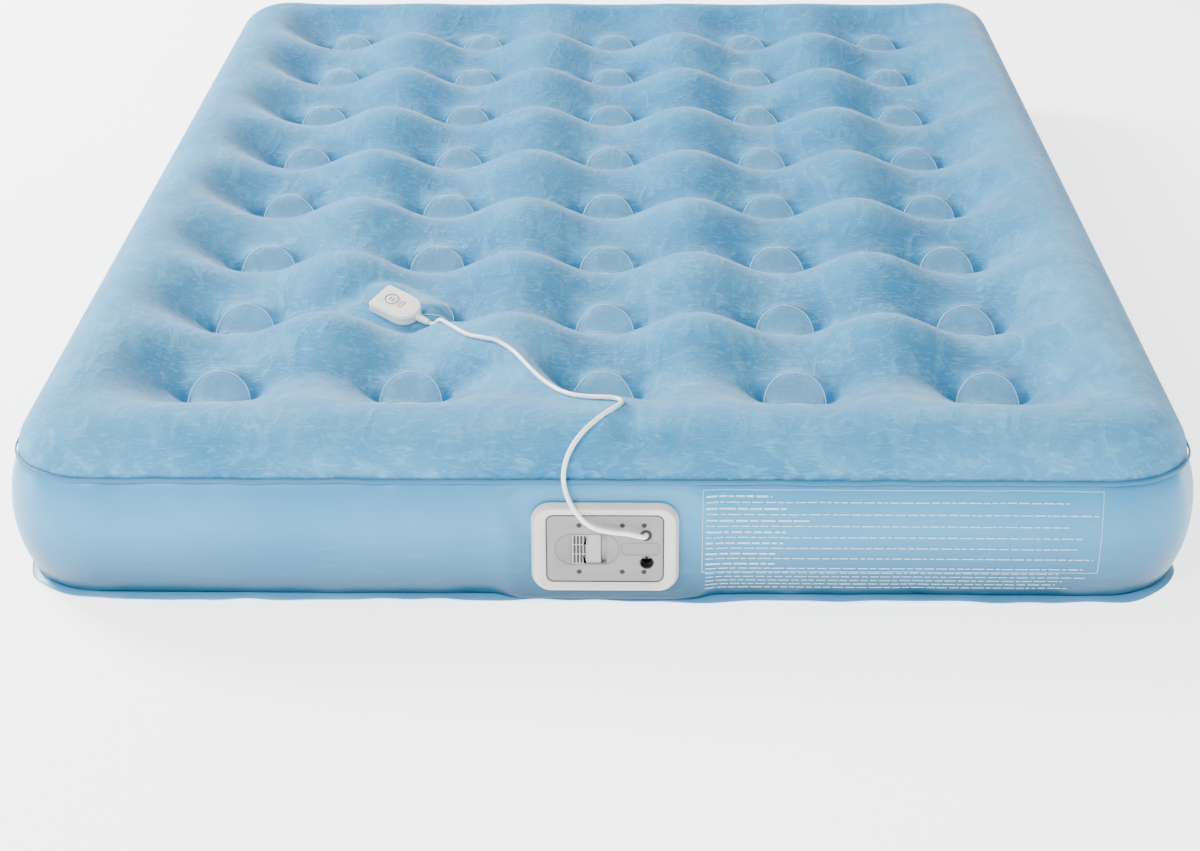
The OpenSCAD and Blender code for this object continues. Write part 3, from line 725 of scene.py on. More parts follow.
@dataclass
class TopSheet:
    """The flocked top: drawn down at 40 coils, with crowns between them and a rolled edge."""

    grid: QuiltGrid = field(default_factory=QuiltGrid)
    deck_z: float = 0.214
    columns: int = 5
    rows: int = 8
    pitch_x: float = 0.232
    pitch_y: float = 0.212
    first_row_y: float = -0.701
    fold_z: float = 0.143
    centre_z: float = 0.146
    row_gap_z: float = 0.178  # between two coils of a column
    column_gap_z: float = 0.175  # between two coils of a row
    crown_z: float = 0.2115
    patch_half_w: float = 0.038
    patch_front: float = 0.033
    patch_rear: float = 0.024
    front_slope: float = 0.24
    rear_slope: float = 1.46
    spread: float = 0.045
    front_fade: float = 0.170
    side_fade: float = 0.150
    rest_y: float = -0.880  # the cord lies on the deck behind this, and on the roll before it
    hump_height: float = 0.0035
    hump_half_w: float = 0.017
    hump_half_l: float = 0.011
    hump_ahead: float = 0.020
    patch_reach: float = 1.25  # of the patch's own size
    patch_loose: float = 1.20
    patch_firm: float = 0.92
    over_relaxed: float = 1.7
    pinch_at: float = 0.046
    pinch_depth: float = 0.008
    pinch_half_w: float = 0.013
    pinch_half_l: float = 0.0085
    front_fold_depth: float = 0.0085
    front_fold_half_w: float = 0.014
    swell_cap: float = 0.004
    held_below: float = 0.165

    def coil_places(self) -> list:
        """Plan places of the 40 coils."""
        return [((c - (self.columns - 1) / 2) * self.pitch_x, self.first_row_y + r * self.pitch_y)
                for c in range(self.columns) for r in range(self.rows)]

    def coil_lines(self, at: np.ndarray, first: float, pitch: float, count: int,
                   fade_low: float, fade_high: float) -> tuple:
        """How near each place is to a line of coils, and whether it lies between the outer lines.

        Args:
            at: Flat coordinate across the lines.
            first: Coordinate of the first line.
            pitch: Distance between lines.
            count: Number of lines.
            fade_low: Distance over which the first line's effect dies away outside.
            fade_high: The same beyond the last line.

        Returns:
            Nearness from 0 to 1, and a factor that falls to 0 in the margins.
        """
        last = first + (count - 1) * pitch
        near = np.cos(math.pi * (at - first) / pitch) ** 2
        below = np.cos(math.pi / 2 * np.clip((first - at) / fade_low, 0, 1)) ** 2
        above = np.cos(math.pi / 2 * np.clip((at - last) / fade_high, 0, 1)) ** 2
        near = np.where(at < first, below, np.where(at > last, above, near))
        return near, np.where(at < first, below, 1.0) * np.where(at > last, above, 1.0)

    def wave(self, x: np.ndarray, y: np.ndarray) -> np.ndarray:
        """The smooth height of the sheet without the coils' welds.

        Args:
            x: Flat x of the grid.
            y: Flat y of the grid.

        Returns:
            Height over the base in metres.
        """
        near_x, in_x = self.coil_lines(x, -(self.columns - 1) / 2 * self.pitch_x, self.pitch_x,
                                       self.columns, self.side_fade, self.side_fade)
        near_y, in_y = self.coil_lines(y, self.first_row_y, self.pitch_y, self.rows,
                                       self.front_fade, self.side_fade)
        row_sink = (self.crown_z - self.row_gap_z) * near_x * (1 - near_y) * in_y
        column_sink = (self.crown_z - self.column_gap_z) * (1 - near_x) * near_y * in_x
        return self.crown_z - row_sink - column_sink \
            - (self.crown_z - self.centre_z) * near_x * near_y

    def relief(self, x: np.ndarray, y: np.ndarray, rounds: int = 160) -> np.ndarray:
        """The sheet's height: the wave, drawn to each weld's plane by a taut, local pull.

        Args:
            x: Flat x of the grid.
            y: Flat y of the grid.
            rounds: Passes of the over-relaxed solver.

        Returns:
            Height over the deck in metres.
        """
        wave = self.wave(x, y)
        pull, target, hold = np.zeros_like(x), np.zeros_like(x), np.zeros_like(x)
        for cx, cy in self.coil_places():
            half_l = np.where(y < cy, self.patch_front, self.patch_rear)
            out = np.hypot((x - cx) / self.patch_half_w, (y - cy) / half_l)
            patch = out < self.patch_reach
            rise = np.where(y < cy, self.front_slope, self.rear_slope) * abs(y - cy)
            along = (y - cy + self.hump_ahead) / self.hump_half_l
            hump = self.hump_height * np.exp(-((x - cx) / self.hump_half_w) ** 2 - along ** 2)
            target[patch] = (self.fold_z + rise + hump - wave)[patch]
            hold = np.maximum(hold, smooth(self.patch_loose, self.patch_firm, out))
        hold[[0, -1], :] = hold[:, [0, -1]] = 1.0
        stiff = 4 + (self.grid.cell / self.spread) ** 2
        parity = np.add.outer(np.arange(x.shape[0]), np.arange(x.shape[1])) % 2
        for _ in range(rounds):
            for chosen in (parity == 0, parity == 1):
                around = np.zeros_like(pull)
                around[1:-1, 1:-1] = (pull[2:, 1:-1] + pull[:-2, 1:-1]
                                      + pull[1:-1, 2:] + pull[1:-1, :-2])
                free = pull + self.over_relaxed * (around / stiff - pull)
                pull = np.where(chosen, free + (target - free) * hold, pull)
        return wave + pull - self.deck_z - self.creases(x, y)

    def creases(self, x: np.ndarray, y: np.ndarray) -> np.ndarray:
        """Depth of the fold beside the cord's bend, and of those that run out from each coil."""
        r = np.random.default_rng(11)
        beside = (x - 0.033 - 0.12 * (y + 0.87)) / self.front_fold_half_w
        depth = self.front_fold_depth * np.exp(-beside ** 2) \
            * smooth(-0.846, -0.866, y) * smooth(-0.945, -0.900, y)
        for cx, cy in self.coil_places():
            end = abs(x - cx) - self.pinch_at
            depth += self.pinch_depth * np.exp(-(end / self.pinch_half_w) ** 2
                                               - ((y - cy) / self.pinch_half_l) ** 2)
            for side in (0, math.pi):
                for _ in range(3):
                    angle = side + r.normal(0, 0.42)
                    size, width = r.uniform(0.0008, 0.0030), r.uniform(0.006, 0.012)
                    start, end = r.uniform(0.030, 0.040), r.uniform(0.070, 0.115)
                    along = (x - cx) * math.cos(angle) + (y - cy) * math.sin(angle)
                    beside = -(x - cx) * math.sin(angle) + (y - cy) * math.cos(angle)
                    window = smooth(start - 0.012, start, along) * smooth(end, start, along)
                    depth += size * np.exp(-(beside / width) ** 2) * window
        return depth

    def lie_under(self, points: np.ndarray, cord: np.ndarray, hand: "HandsetPlace") -> None:
        """Presses the sheet down to the cord and the handset, and lets it rise to meet both.

        Args:
            points: The sheet's points, changed in place.
            cord: Places along the cord's middle.
            hand: Where the handset lies.
        """
        radius, relief_r, reach, groove = 0.0031, 0.0078, 0.055, 0.016
        close_by, slack = 0.012, 0.0006
        run = np.concatenate([[0.0], np.cumsum(np.linalg.norm(np.diff(cord, axis=0), axis=1))])
        radii = relief_r + (radius - relief_r) * smooth(0.020, 0.050, run)
        resting = cord[:, 1] > self.rest_y
        spots, low = cord[resting], (cord[:, 2] - radii)[resting]
        best, floor = np.full(len(points), 1.0), np.zeros(len(points))
        for spot, z in zip(spots, low):
            flat = np.hypot(points[:, 0] - spot[0], points[:, 1] - spot[1])
            nearer = flat < best
            best[nearer], floor[nearer] = flat[nearer], z
        deck = (points[:, 2] > 0.120) * smooth(self.rest_y - 0.030, self.rest_y, points[:, 1])
        gap = floor - points[:, 2]
        lift = np.where(gap > 0, smooth(reach, 0.002, best), smooth(groove, 0.004, best))
        points[:, 2] += np.where(best < reach, gap * lift * deck, 0.0)
        gap = hand.under(points) - 0.0008 - points[:, 2]
        outside = hand.outside(points)
        lift = np.where(gap > 0, smooth(reach, 0.0, outside), smooth(groove, 0.0, outside))
        points[:, 2] += np.where(outside < reach, gap * lift, 0.0)
        axis = np.array([0.0, self.rest_y + 0.010, 0.150])
        for spot in cord[cord[:, 1] < self.rest_y + 0.020]:
            away = points - spot
            close = np.flatnonzero(np.linalg.norm(away, axis=1) < close_by)
            if len(close) == 0:
                continue
            inward = axis + np.array([spot[0], 0, 0]) - spot
            inward /= np.linalg.norm(inward)
            depth = away[close] @ inward
            beside = np.linalg.norm(away[close] - np.outer(depth, inward), axis=1)
            push = np.maximum(radius + slack - depth, 0) * smooth(close_by, 0.004, beside)
            points[close] += np.outer(push, inward)

    def swell(self, piece: bpy.types.Object) -> None:
        """Lets the cloth solver tighten the sheet under pressure, within a cap."""
        before = np.array([v.co for v in piece.data.vertices])
        rim = piece.vertex_groups.new(name="held")
        held = np.flatnonzero(before[:, 2] < self.held_below)
        rim.add([int(i) for i in held], 1.0, "REPLACE")
        cloth = piece.modifiers.new("swell", "CLOTH")
        settings = cloth.settings
        settings.vertex_group_mass = "held"
        settings.quality = 4
        settings.tension_stiffness = settings.compression_stiffness = 25
        settings.bending_stiffness = 1.2
        settings.use_pressure = True
        settings.uniform_pressure_force = 0.35
        settings.effector_weights.gravity = 0
        cloth.collision_settings.use_collision = False
        scene = bpy.context.scene
        for step in range(1, 13):
            scene.frame_set(step)
        moved = piece.evaluated_get(bpy.context.evaluated_depsgraph_get()).data
        after = np.array([v.co for v in moved.vertices])
        piece.modifiers.remove(cloth)
        scene.frame_set(1)
        shift = after - before
        size = np.linalg.norm(shift, axis=1, keepdims=True)
        capped = before + shift * np.minimum(1.0, self.swell_cap / np.maximum(size, 1e-9))
        piece.data.vertices.foreach_set("co", capped.ravel())
        piece.vertex_groups.clear()
        log.info("top sheet swelled by %.1f mm on average", float(size.mean()) / MM)

    def build(self, cord: np.ndarray, hand: "HandsetPlace") -> bpy.types.Object:
        """Makes the sheet.

        Args:
            cord: Places along the cord's middle, which lies on the sheet.
            hand: Where the handset lies.

        Returns:
            The finished sheet.
        """
        x, y = self.grid.lattice()
        px, py, drop, nx, ny, nz = self.grid.wrap(x, y)
        height = self.relief(x, y)
        points = np.stack([px + nx * height, py + ny * height,
                           self.deck_z - drop + nz * height], axis=-1).reshape(-1, 3)
        sheet = mesh_piece("top_sheet_fabric", points, grid_faces(*x.shape))
        self.swell(sheet)
        points = np.array([v.co for v in sheet.data.vertices])
        self.lie_under(points, cord, hand)
        sheet.data.vertices.foreach_set("co", points.ravel())
        rounder = sheet.modifiers.new("rounder", "SUBSURF")
        rounder.levels = rounder.render_levels = 1
        apply_modifiers(sheet)
        return sheet


@dataclass
class WeldRings:
    """The raised rim of each coil's weld disc, a thin pale bead of painted highlight on the sheet.
    """

    half_w: float = 0.0375
    half_l: float = 0.0232
    bead_r: float = 0.00065
    around: int = 56
    sides: int = 6

    def build(self, sheet: bpy.types.Object, coils: list) -> bpy.types.Object:
        """Lays a bead round every disc.

        Args:
            sheet: The finished top sheet, which the beads lie on.
            coils: Plan places of the coils.

        Returns:
            All beads as one piece.
        """
        points, faces = [], []
        for cx, cy in coils:
            line = []
            for i in range(self.around):
                a = 2 * math.pi * i / self.around
                place = Vector((cx + self.half_w * math.cos(a), cy + self.half_l * math.sin(a), 1))
                _, spot, normal, _ = sheet.ray_cast(place, Vector((0, 0, -1)))
                line.append(spot + normal * self.bead_r * 0.3)
            start = len(points)
            for i, spot in enumerate(line):
                ahead = (line[(i + 1) % self.around] - line[i - 1]).normalized()
                up = (Vector((0, 0, 1)) - ahead * ahead.z).normalized()
                side = ahead.cross(up)
                for k in range(self.sides):
                    b = 2 * math.pi * k / self.sides
                    points.append(spot + self.bead_r * (math.cos(b) * up + math.sin(b) * side))
            n = self.sides
            faces += [[start + i * n + k, start + i * n + (k + 1) % n,
                       start + (i + 1) % self.around * n + (k + 1) % n,
                       start + (i + 1) % self.around * n + k]
                      for i in range(self.around) for k in range(n)]
        return mesh_piece("coil_weld_rims", np.array(points), faces)


@dataclass
class CoilWebs:
    """The film tubes that tie the top to the base, pinched flat where they meet the top."""

    base_r: float = 0.036
    top_half_w: float = 0.035
    top_half_l: float = 0.014
    waist: float = 0.10
    low_z: float = 0.007
    gap: float = 0.0022
    around: int = 48
    levels: int = 10
    disc_lift: float = 0.001

    def roof(self, sheet: bpy.types.Object, x: float, y: float) -> float:
        """Height of the top sheet's underside over a plan place."""
        _, spot, _, _ = sheet.ray_cast(Vector((x, y, 1)), Vector((0, 0, -1)))
        return spot.z - self.gap

    def row(self, name: str, sheet: bpy.types.Object, coils: list) -> bpy.types.Object:
        """Makes the tubes of one row.

        Args:
            name: Name of the piece.
            sheet: The finished top sheet.
            coils: Plan places of the row's coils.

        Returns:
            The row's tubes, as film with a thickness.
        """
        points, faces = [], []
        for cx, cy in coils:
            start = len(points)
            for level in range(self.levels + 1):
                t = level / self.levels
                drawn = t ** 2.2
                slim = 1 - self.waist * math.sin(math.pi * t)
                half_w = (self.base_r + (self.top_half_w - self.base_r) * drawn) * slim
                half_l = (self.base_r + (self.top_half_l - self.base_r) * drawn) * slim
                for i in range(self.around):
                    a = 2 * math.pi * i / self.around
                    x, y = cx + half_w * math.cos(a), cy + half_l * math.sin(a)
                    roof = self.roof(sheet, cx + self.top_half_w * math.cos(a),
                                     cy + self.top_half_l * math.sin(a))
                    points.append((x, y, self.low_z + (roof - self.low_z) * t))
            ring = self.around
            faces += [[start + level * ring + i, start + level * ring + (i + 1) % ring,
                       start + (level + 1) * ring + (i + 1) % ring,
                       start + (level + 1) * ring + i]
                      for level in range(self.levels) for i in range(ring)]
        tubes = mesh_piece(name, np.array(points), faces)
        film = tubes.modifiers.new("film", "SOLIDIFY")
        film.thickness = 0.0006
        apply_modifiers(tubes)
        return tubes

    def discs(self, sheet: bpy.types.Object, coils: list) -> bpy.types.Object:
        """Makes the weld discs that lie against the underside of the top sheet.

        Args:
            sheet: The finished top sheet.
            coils: Plan places of all coils.

        Returns:
            All discs as one piece.
        """
        points, faces, rings = [], [], 6
        for cx, cy in coils:
            start = len(points)
            points.append((cx, cy, self.roof(sheet, cx, cy) + self.disc_lift))
            for ring in range(1, rings + 1):
                for i in range(self.around):
                    a = 2 * math.pi * i / self.around
                    x = cx + self.top_half_w * ring / rings * math.cos(a)
                    y = cy + self.top_half_l * ring / rings * math.sin(a)
                    points.append((x, y, self.roof(sheet, x, y) + self.disc_lift))
            n = self.around
            faces += [[start, start + 1 + i, start + 1 + (i + 1) % n] for i in range(n)]
            faces += [[start + 1 + ring * n + i, start + 1 + (ring + 1) * n + i,
                       start + 1 + (ring + 1) * n + (i + 1) % n,
                       start + 1 + ring * n + (i + 1) % n]
                      for ring in range(rings - 1) for i in range(n)]
        film = mesh_piece("coil_weld_discs", np.array(points), faces)
        thick = film.modifiers.new("film", "SOLIDIFY")
        thick.thickness = 0.0005
        apply_modifiers(film)
        return film


@dataclass
class SideWall:
    """The vinyl wall: a bulged ring, puckered at both welds and drawn in round the pump."""

    bulge_r: float = 0.175
    bulge_z: float = 0.092
    low_z: float = 0.0075
    seam_z: float = 0.155
    rows: int = 26
    panel_x: float = 0.006
    panel_z: float = 0.078
    pocket_half_w: float = 0.088
    pocket_half_h: float = 0.060
    pocket_ease: float = 0.034
    pocket_depth: float = 0.0088
    roll_height: float = 0.0042
    roll_at: float = 0.024
    roll_w: float = 0.010
    roll_top: float = 0.151
    roll_full: float = 0.138
    tuck_depth: float = 0.0034
    tuck_reach: float = 0.006
    opening_in: tuple = (0.012, 0.014)  # the opening's edge, in from the pocket's
    fold_half_w: float = 0.008
    fold_reach: float = 0.050

    def offset(self, z: np.ndarray) -> np.ndarray:
        """Outward offset of the plain wall at a height, 0 at the bulge."""
        return np.sqrt(self.bulge_r ** 2 - (z - self.bulge_z) ** 2) - self.bulge_r

    def beyond(self, x: np.ndarray, z: np.ndarray) -> np.ndarray:
        """Distance outside the pocket's rectangle, 0 in it."""
        return np.hypot(np.maximum(abs(x - self.panel_x) - self.pocket_half_w, 0),
                        np.maximum(abs(z - self.panel_z) - self.pocket_half_h, 0))

    def pocket(self, x: np.ndarray, y: np.ndarray, z: np.ndarray) -> np.ndarray:
        """1 where the wall lies behind the bezel, easing to 0 round it."""
        share = smooth(self.pocket_ease, 0.0, self.beyond(x, z))
        return np.where(y < FRONT / 2, share, 0.0)

    def collar(self, x: np.ndarray, y: np.ndarray, z: np.ndarray) -> np.ndarray:
        """Height of the soft roll that stands round the pocket."""
        across = (self.beyond(x, z) - self.roll_at) / self.roll_w
        roll = self.roll_height * np.exp(-across ** 2) * smooth(self.roll_top, self.roll_full, z)
        return np.where(y < FRONT / 2, roll, 0.0)

    def build(self) -> bpy.types.Object:
        """Makes the wall with the opening for the pump tub."""
        plan, out, walked = OUTLINE.walk()
        z = np.linspace(self.low_z, self.seam_z, self.rows)
        near_corner = OUTLINE.corners_near(plan)
        top = Puckers(3, 190, 0.0017, 0.011, 0.030).field(walked, self.seam_z - z)
        low = Puckers(4, 170, 0.0016, 0.013, 0.034).field(walked, z - self.low_z)
        folds = Puckers(5, 260, 0.0042, 0.016, 0.042).field(walked, self.seam_z - z)
        slack = Puckers(6, 60, 0.0030, 0.090, 0.300).field(walked, abs(z - self.bulge_z))
        tuck = self.tuck_depth * np.exp(-(self.seam_z - z) / self.tuck_reach)[:, None]
        inward = (-self.offset(z)[:, None] + top + low + folds * near_corner + slack * 0.5 + tuck)
        x = plan[None, :, 0] - out[None, :, 0] * inward
        zz = np.repeat(z[:, None], len(walked), axis=1)
        y = plan[None, :, 1] - out[None, :, 1] * inward
        share = self.pocket(x, y, zz)
        fade = self.crease(x, zz)
        y = y + (FRONT + self.pocket_depth - y) * share + fade * (y < FRONT / 2)
        y = y - self.collar(x, y, zz)
        points = np.stack([x, y, zz], axis=-1).reshape(-1, 3)
        faces = grid_faces(self.rows, len(walked), closed=True)
        inner = (self.pocket_half_w - self.opening_in[0],
                 self.pocket_half_h - self.opening_in[1])
        hidden = ((abs(points[:, 0] - self.panel_x) < inner[0])
                  & (abs(points[:, 2] - self.panel_z) < inner[1]) & (points[:, 1] < FRONT / 2))
        faces = [f for f in faces if not all(hidden[i] for i in f)]
        wall = mesh_piece("side_wall_vinyl", points, faces)
        rounder = wall.modifiers.new("rounder", "SUBSURF")
        rounder.levels = rounder.render_levels = 1
        thick = wall.modifiers.new("film", "SOLIDIFY")
        thick.thickness, thick.offset = 0.0012, -1.0
        apply_modifiers(wall)
        return wall

    def crease(self, x: np.ndarray, z: np.ndarray) -> np.ndarray:
        """Two folds that run from the pocket's upper corners towards the seam."""
        folds = [(-0.098, 0.110, -0.45, 0.0030), (0.112, 0.112, 0.50, 0.0034)]
        depth = np.zeros_like(x)
        for at_x, at_z, lean, size in folds:
            beside = (x - self.panel_x - at_x) - lean * (z - at_z)
            along = smooth(self.fold_reach, 0.0, abs(z - at_z))
            depth += size * np.exp(-(beside / self.fold_half_w) ** 2) * along
        return depth


@dataclass
class WeldStrip:
    """A welded edge that runs all round the bed, with a section of outward offset and height."""

    name: str
    section: tuple
    wave_z: float
    wave_out: float
    seed: int
    floor: float = 0.0
    ripples: int = 22
    fewest: int = 9  # cycles of a ripple round the bed
    most: int = 120

    def waves(self, walked: np.ndarray, size: float, shift: int) -> np.ndarray:
        """A wavering line that closes on itself."""
        r = np.random.default_rng(self.seed + shift)
        turn = 2 * math.pi * walked / (walked[-1] + OUTLINE.step)
        total = np.zeros_like(walked)
        for cycles in r.integers(self.fewest, self.most, self.ripples):
            total += r.uniform(0.3, 1.0) * np.sin(cycles * turn + r.uniform(0, 6.283)) \
                / math.sqrt(cycles / self.fewest)
        return size * total / max(abs(total).max(), 1e-9)

    def build(self) -> bpy.types.Object:
        """Sweeps the section round the bed."""
        plan, out, walked = OUTLINE.walk()
        rise = self.waves(walked, self.wave_z, 0)
        push = self.waves(walked, self.wave_out, 50)
        root = min(offset for offset, _ in self.section)
        reach = max(offset for offset, _ in self.section) - root
        rows = []
        for offset, z in self.section:
            share = (offset - root) / reach
            place = plan + out * (offset + push * share)[:, None]
            rows.append(np.column_stack([place, np.maximum(z + rise * (0.25 + 0.75 * share),
                                                           self.floor)]))
        points = np.array(rows + [rows[0]]).reshape(-1, 3)
        strip = mesh_piece(self.name, points,
                           grid_faces(len(self.section) + 1, len(walked), closed=True))
        only(strip)
        bpy.ops.object.mode_set(mode="EDIT")
        bpy.ops.mesh.select_all(action="SELECT")
        bpy.ops.mesh.remove_doubles(threshold=0.00002)
        bpy.ops.mesh.normals_make_consistent(inside=False)
        bpy.ops.object.mode_set(mode="OBJECT")
        rounder = strip.modifiers.new("rounder", "SUBSURF")
        rounder.levels = rounder.render_levels = 1
        apply_modifiers(strip)
        return strip


@dataclass
class BaseSheet:
    """The underside: flat on the floor, drawn up a little at each weld disc."""

    grid: QuiltGrid = field(default_factory=lambda: QuiltGrid(
        corner_flat_r=0.0855, roll_r=0.008, roll_arc=0.01256, cell=0.011))
    draw_up: float = 0.0055
    disc_r: float = 0.038

    def build(self, coils: list) -> bpy.types.Object:
        """Makes the sheet, with a shallow dish at each coil."""
        x, y = self.grid.lattice()
        px, py, drop, *_ = self.grid.wrap(x, y)
        z = drop.copy()
        for cx, cy in coils:
            away = np.hypot(x - cx, y - cy)
            z += self.draw_up * smooth(self.disc_r * 2.1, self.disc_r * 0.9, away) \
                - 0.0008 * np.exp(-((away - self.disc_r) / 0.004) ** 2)
        points = np.stack([px, py, np.maximum(z, 0.0)], axis=-1).reshape(-1, 3)
        faces = [list(reversed(f)) for f in grid_faces(*x.shape)]
        return mesh_piece("base_sheet_vinyl", points, faces)


@dataclass
class CarePanel:
    """The panel of print beside the pump, as thin bars in short and long rows, with no text."""

    left: float = 0.115
    right: float = 0.560
    top: float = 0.147
    row_pitch: float = 0.0069
    pairs: int = 7
    fine_rows: int = 5
    lift: float = 0.00035

    def bars(self) -> list:
        """Left, right, low and high of every bar, by a seeded draw of word lengths."""
        r = np.random.default_rng(29)
        found, z = [], self.top - 0.0058
        for row in range(2 * self.pairs + self.fine_rows):
            heading = row < 2 * self.pairs and row % 2 == 0
            fine = row >= 2 * self.pairs
            tall = 0.0022 if heading else 0.0010 if fine else 0.0013
            end = self.left + (r.uniform(0.075, 0.125) if heading
                               else r.uniform(0.40, 0.44))
            x = self.left + 0.004
            while x < end:
                long = r.uniform(0.004, 0.015) * (1.25 if heading else 1.0)
                found.append((x, min(x + long, end), z - tall, z))
                x += long + r.uniform(0.0018, 0.0030)
            z -= self.row_pitch * (0.82 if fine else 1.0)
        return found

    def frame_lines(self) -> list:
        """The thin border round the paired rows."""
        low = self.top - self.row_pitch * (2 * self.pairs) - 0.004
        w = 0.0006
        return [(self.left, self.right, self.top - w, self.top),
                (self.left, self.right, low - w, low),
                (self.left, self.left + w, low, self.top),
                (self.right - w, self.right, low, self.top)]

    def build(self, wall: bpy.types.Object) -> bpy.types.Object:
        """Lays the bars on the wall.

        Args:
            wall: The finished side wall, which the bars are dropped on to.

        Returns:
            The print as thin raised patches.
        """
        points, faces = [], []
        for x0, x1, z0, z1 in self.bars() + self.frame_lines():
            nx = max(1, round((x1 - x0) / 0.006))
            nz = max(1, round((z1 - z0) / 0.006))
            start = len(points)
            for i in range(nz + 1):
                for j in range(nx + 1):
                    x, z = x0 + (x1 - x0) * j / nx, z0 + (z1 - z0) * i / nz
                    _, place, normal, _ = wall.ray_cast(Vector((x, -1.2, z)), Vector((0, 1, 0)))
                    points.append(place + normal * self.lift)
            faces += [[start + k for k in f] for f in grid_faces(nz + 1, nx + 1)]
        return mesh_piece("care_panel_print", np.array(points), faces)


# ---------- the cord, the handset and the pump panel ----------


class HandsetPlace:
    """The handset's own frame, worked out from its button, its strain relief and the joint."""

    half_l: float = 0.032
    half_w: float = 0.022
    half_t: float = 0.0075

    def __init__(self) -> None:
        """Reads the frame."""
        joint = next(j for j in frame["joints"] if j["name"] == "button_press")
        self.up = -Vector(joint["axis"]).normalized()
        button = sum(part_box("handset_button"), Vector()) / 2
        relief = sum(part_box("handset_strain_relief"), Vector()) / 2
        along = relief - button
        self.ahead = (along - self.up * along.dot(self.up)).normalized()
        self.side = self.up.cross(self.ahead)
        relief_middle = 0.038
        self.centre = relief - self.ahead * relief_middle

    def matrix(self) -> Matrix:
        """From the handset's frame to the bed's."""
        turn = Matrix((self.ahead, self.side, self.up)).transposed().to_4x4()
        return Matrix.Translation(self.centre) @ turn

    def local(self, points: np.ndarray) -> np.ndarray:
        """Places in the handset's frame."""
        axes = np.array([self.ahead, self.side, self.up])
        return (points - np.array(self.centre)) @ axes.T

    def under(self, points: np.ndarray) -> np.ndarray:
        """Height of the handset's underside over each plan place."""
        low = self.centre - self.up * self.half_t
        flat = (points[:, 0] - low.x) * self.up.x + (points[:, 1] - low.y) * self.up.y
        return low.z - flat / self.up.z

    def outside(self, points: np.ndarray) -> np.ndarray:
        """Distance beyond the handset's outline, 0 inside it."""
        here = self.local(points)
        return np.hypot(np.maximum(abs(here[:, 0]) - self.half_l, 0),
                        np.maximum(abs(here[:, 1]) - self.half_w, 0))


@dataclass
class RemoteCord:
    """The handset's cord: one smooth run from the strain relief to the panel's grommet."""

    diameter: float = 0.0055
    length: float = 0.71
    starts: tuple = (0.042, 0.058)
    steps: int = 3

    def line(self, hand: HandsetPlace) -> np.ndarray:
        """Places along the cord's middle."""
        first = [hand.centre + hand.ahead * d for d in self.starts]
        return catmull_rom(np.vstack([first, np.array(CORD_ROUTE_MM) * MM]), self.steps)

    def build(self, line: np.ndarray) -> bpy.types.Object:
        """Makes the cord as a round curve along the line."""
        data = bpy.data.curves.new("remote_cord_flex", "CURVE")
        data.dimensions = "3D"
        data.bevel_depth = self.diameter / 2
        data.bevel_resolution = 4
        data.use_fill_caps = True
        spline = data.splines.new("POLY")
        spline.points.add(len(line) - 1)
        for point, place in zip(spline.points, line):
            point.co = (*place, 1.0)
        spline.use_smooth = True
        cord = bpy.data.objects.new("remote_cord_flex", data)
        bpy.context.scene.collection.objects.link(cord)
        return cord


@dataclass
class Softened:
    """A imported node's copy with its edges rounded as a moulding's are."""

    node: str
    width: float = 0.0005
    segments: int = 2
    angle: float = 32.0

    def build(self, name: str) -> bpy.types.Object:
        """Makes the copy, merged, with flat faces joined and edges bevelled."""
        source = frame["nodes"][self.node]
        piece = bpy.data.objects.new(name, source.data.copy())
        bpy.context.scene.collection.objects.link(piece)
        only(piece)
        bpy.ops.object.mode_set(mode="EDIT")
        bpy.ops.mesh.select_all(action="SELECT")
        bpy.ops.mesh.remove_doubles(threshold=0.00001)
        bpy.ops.mesh.dissolve_limited(angle_limit=math.radians(1.0))
        bpy.ops.object.mode_set(mode="OBJECT")
        edge = piece.modifiers.new("edge", "BEVEL")
        edge.width, edge.segments = self.width, self.segments
        edge.limit_method, edge.angle_limit = "ANGLE", math.radians(self.angle)
        edge.use_clamp_overlap = True
        edge.harden_normals = False
        apply_modifiers(piece)
        bpy.ops.object.shade_smooth_by_angle(angle=math.radians(30.0))
        return piece


def joined(name: str, made: list) -> bpy.types.Object:
    """Joins finished primitives into one piece at the origin."""
    for piece in made:
        settle(piece)
    only(made[0])
    for piece in made:
        piece.select_set(True)
    bpy.ops.object.join()
    made[0].name = made[0].data.name = name
    return made[0]


def block(low: tuple, size: tuple) -> bpy.types.Object:
    """A box from its low corner and its size."""
    bpy.ops.mesh.primitive_cube_add(size=1)
    box = bpy.context.object
    box.scale = size
    box.location = [a + b / 2 for a, b in zip(low, size)]
    return box


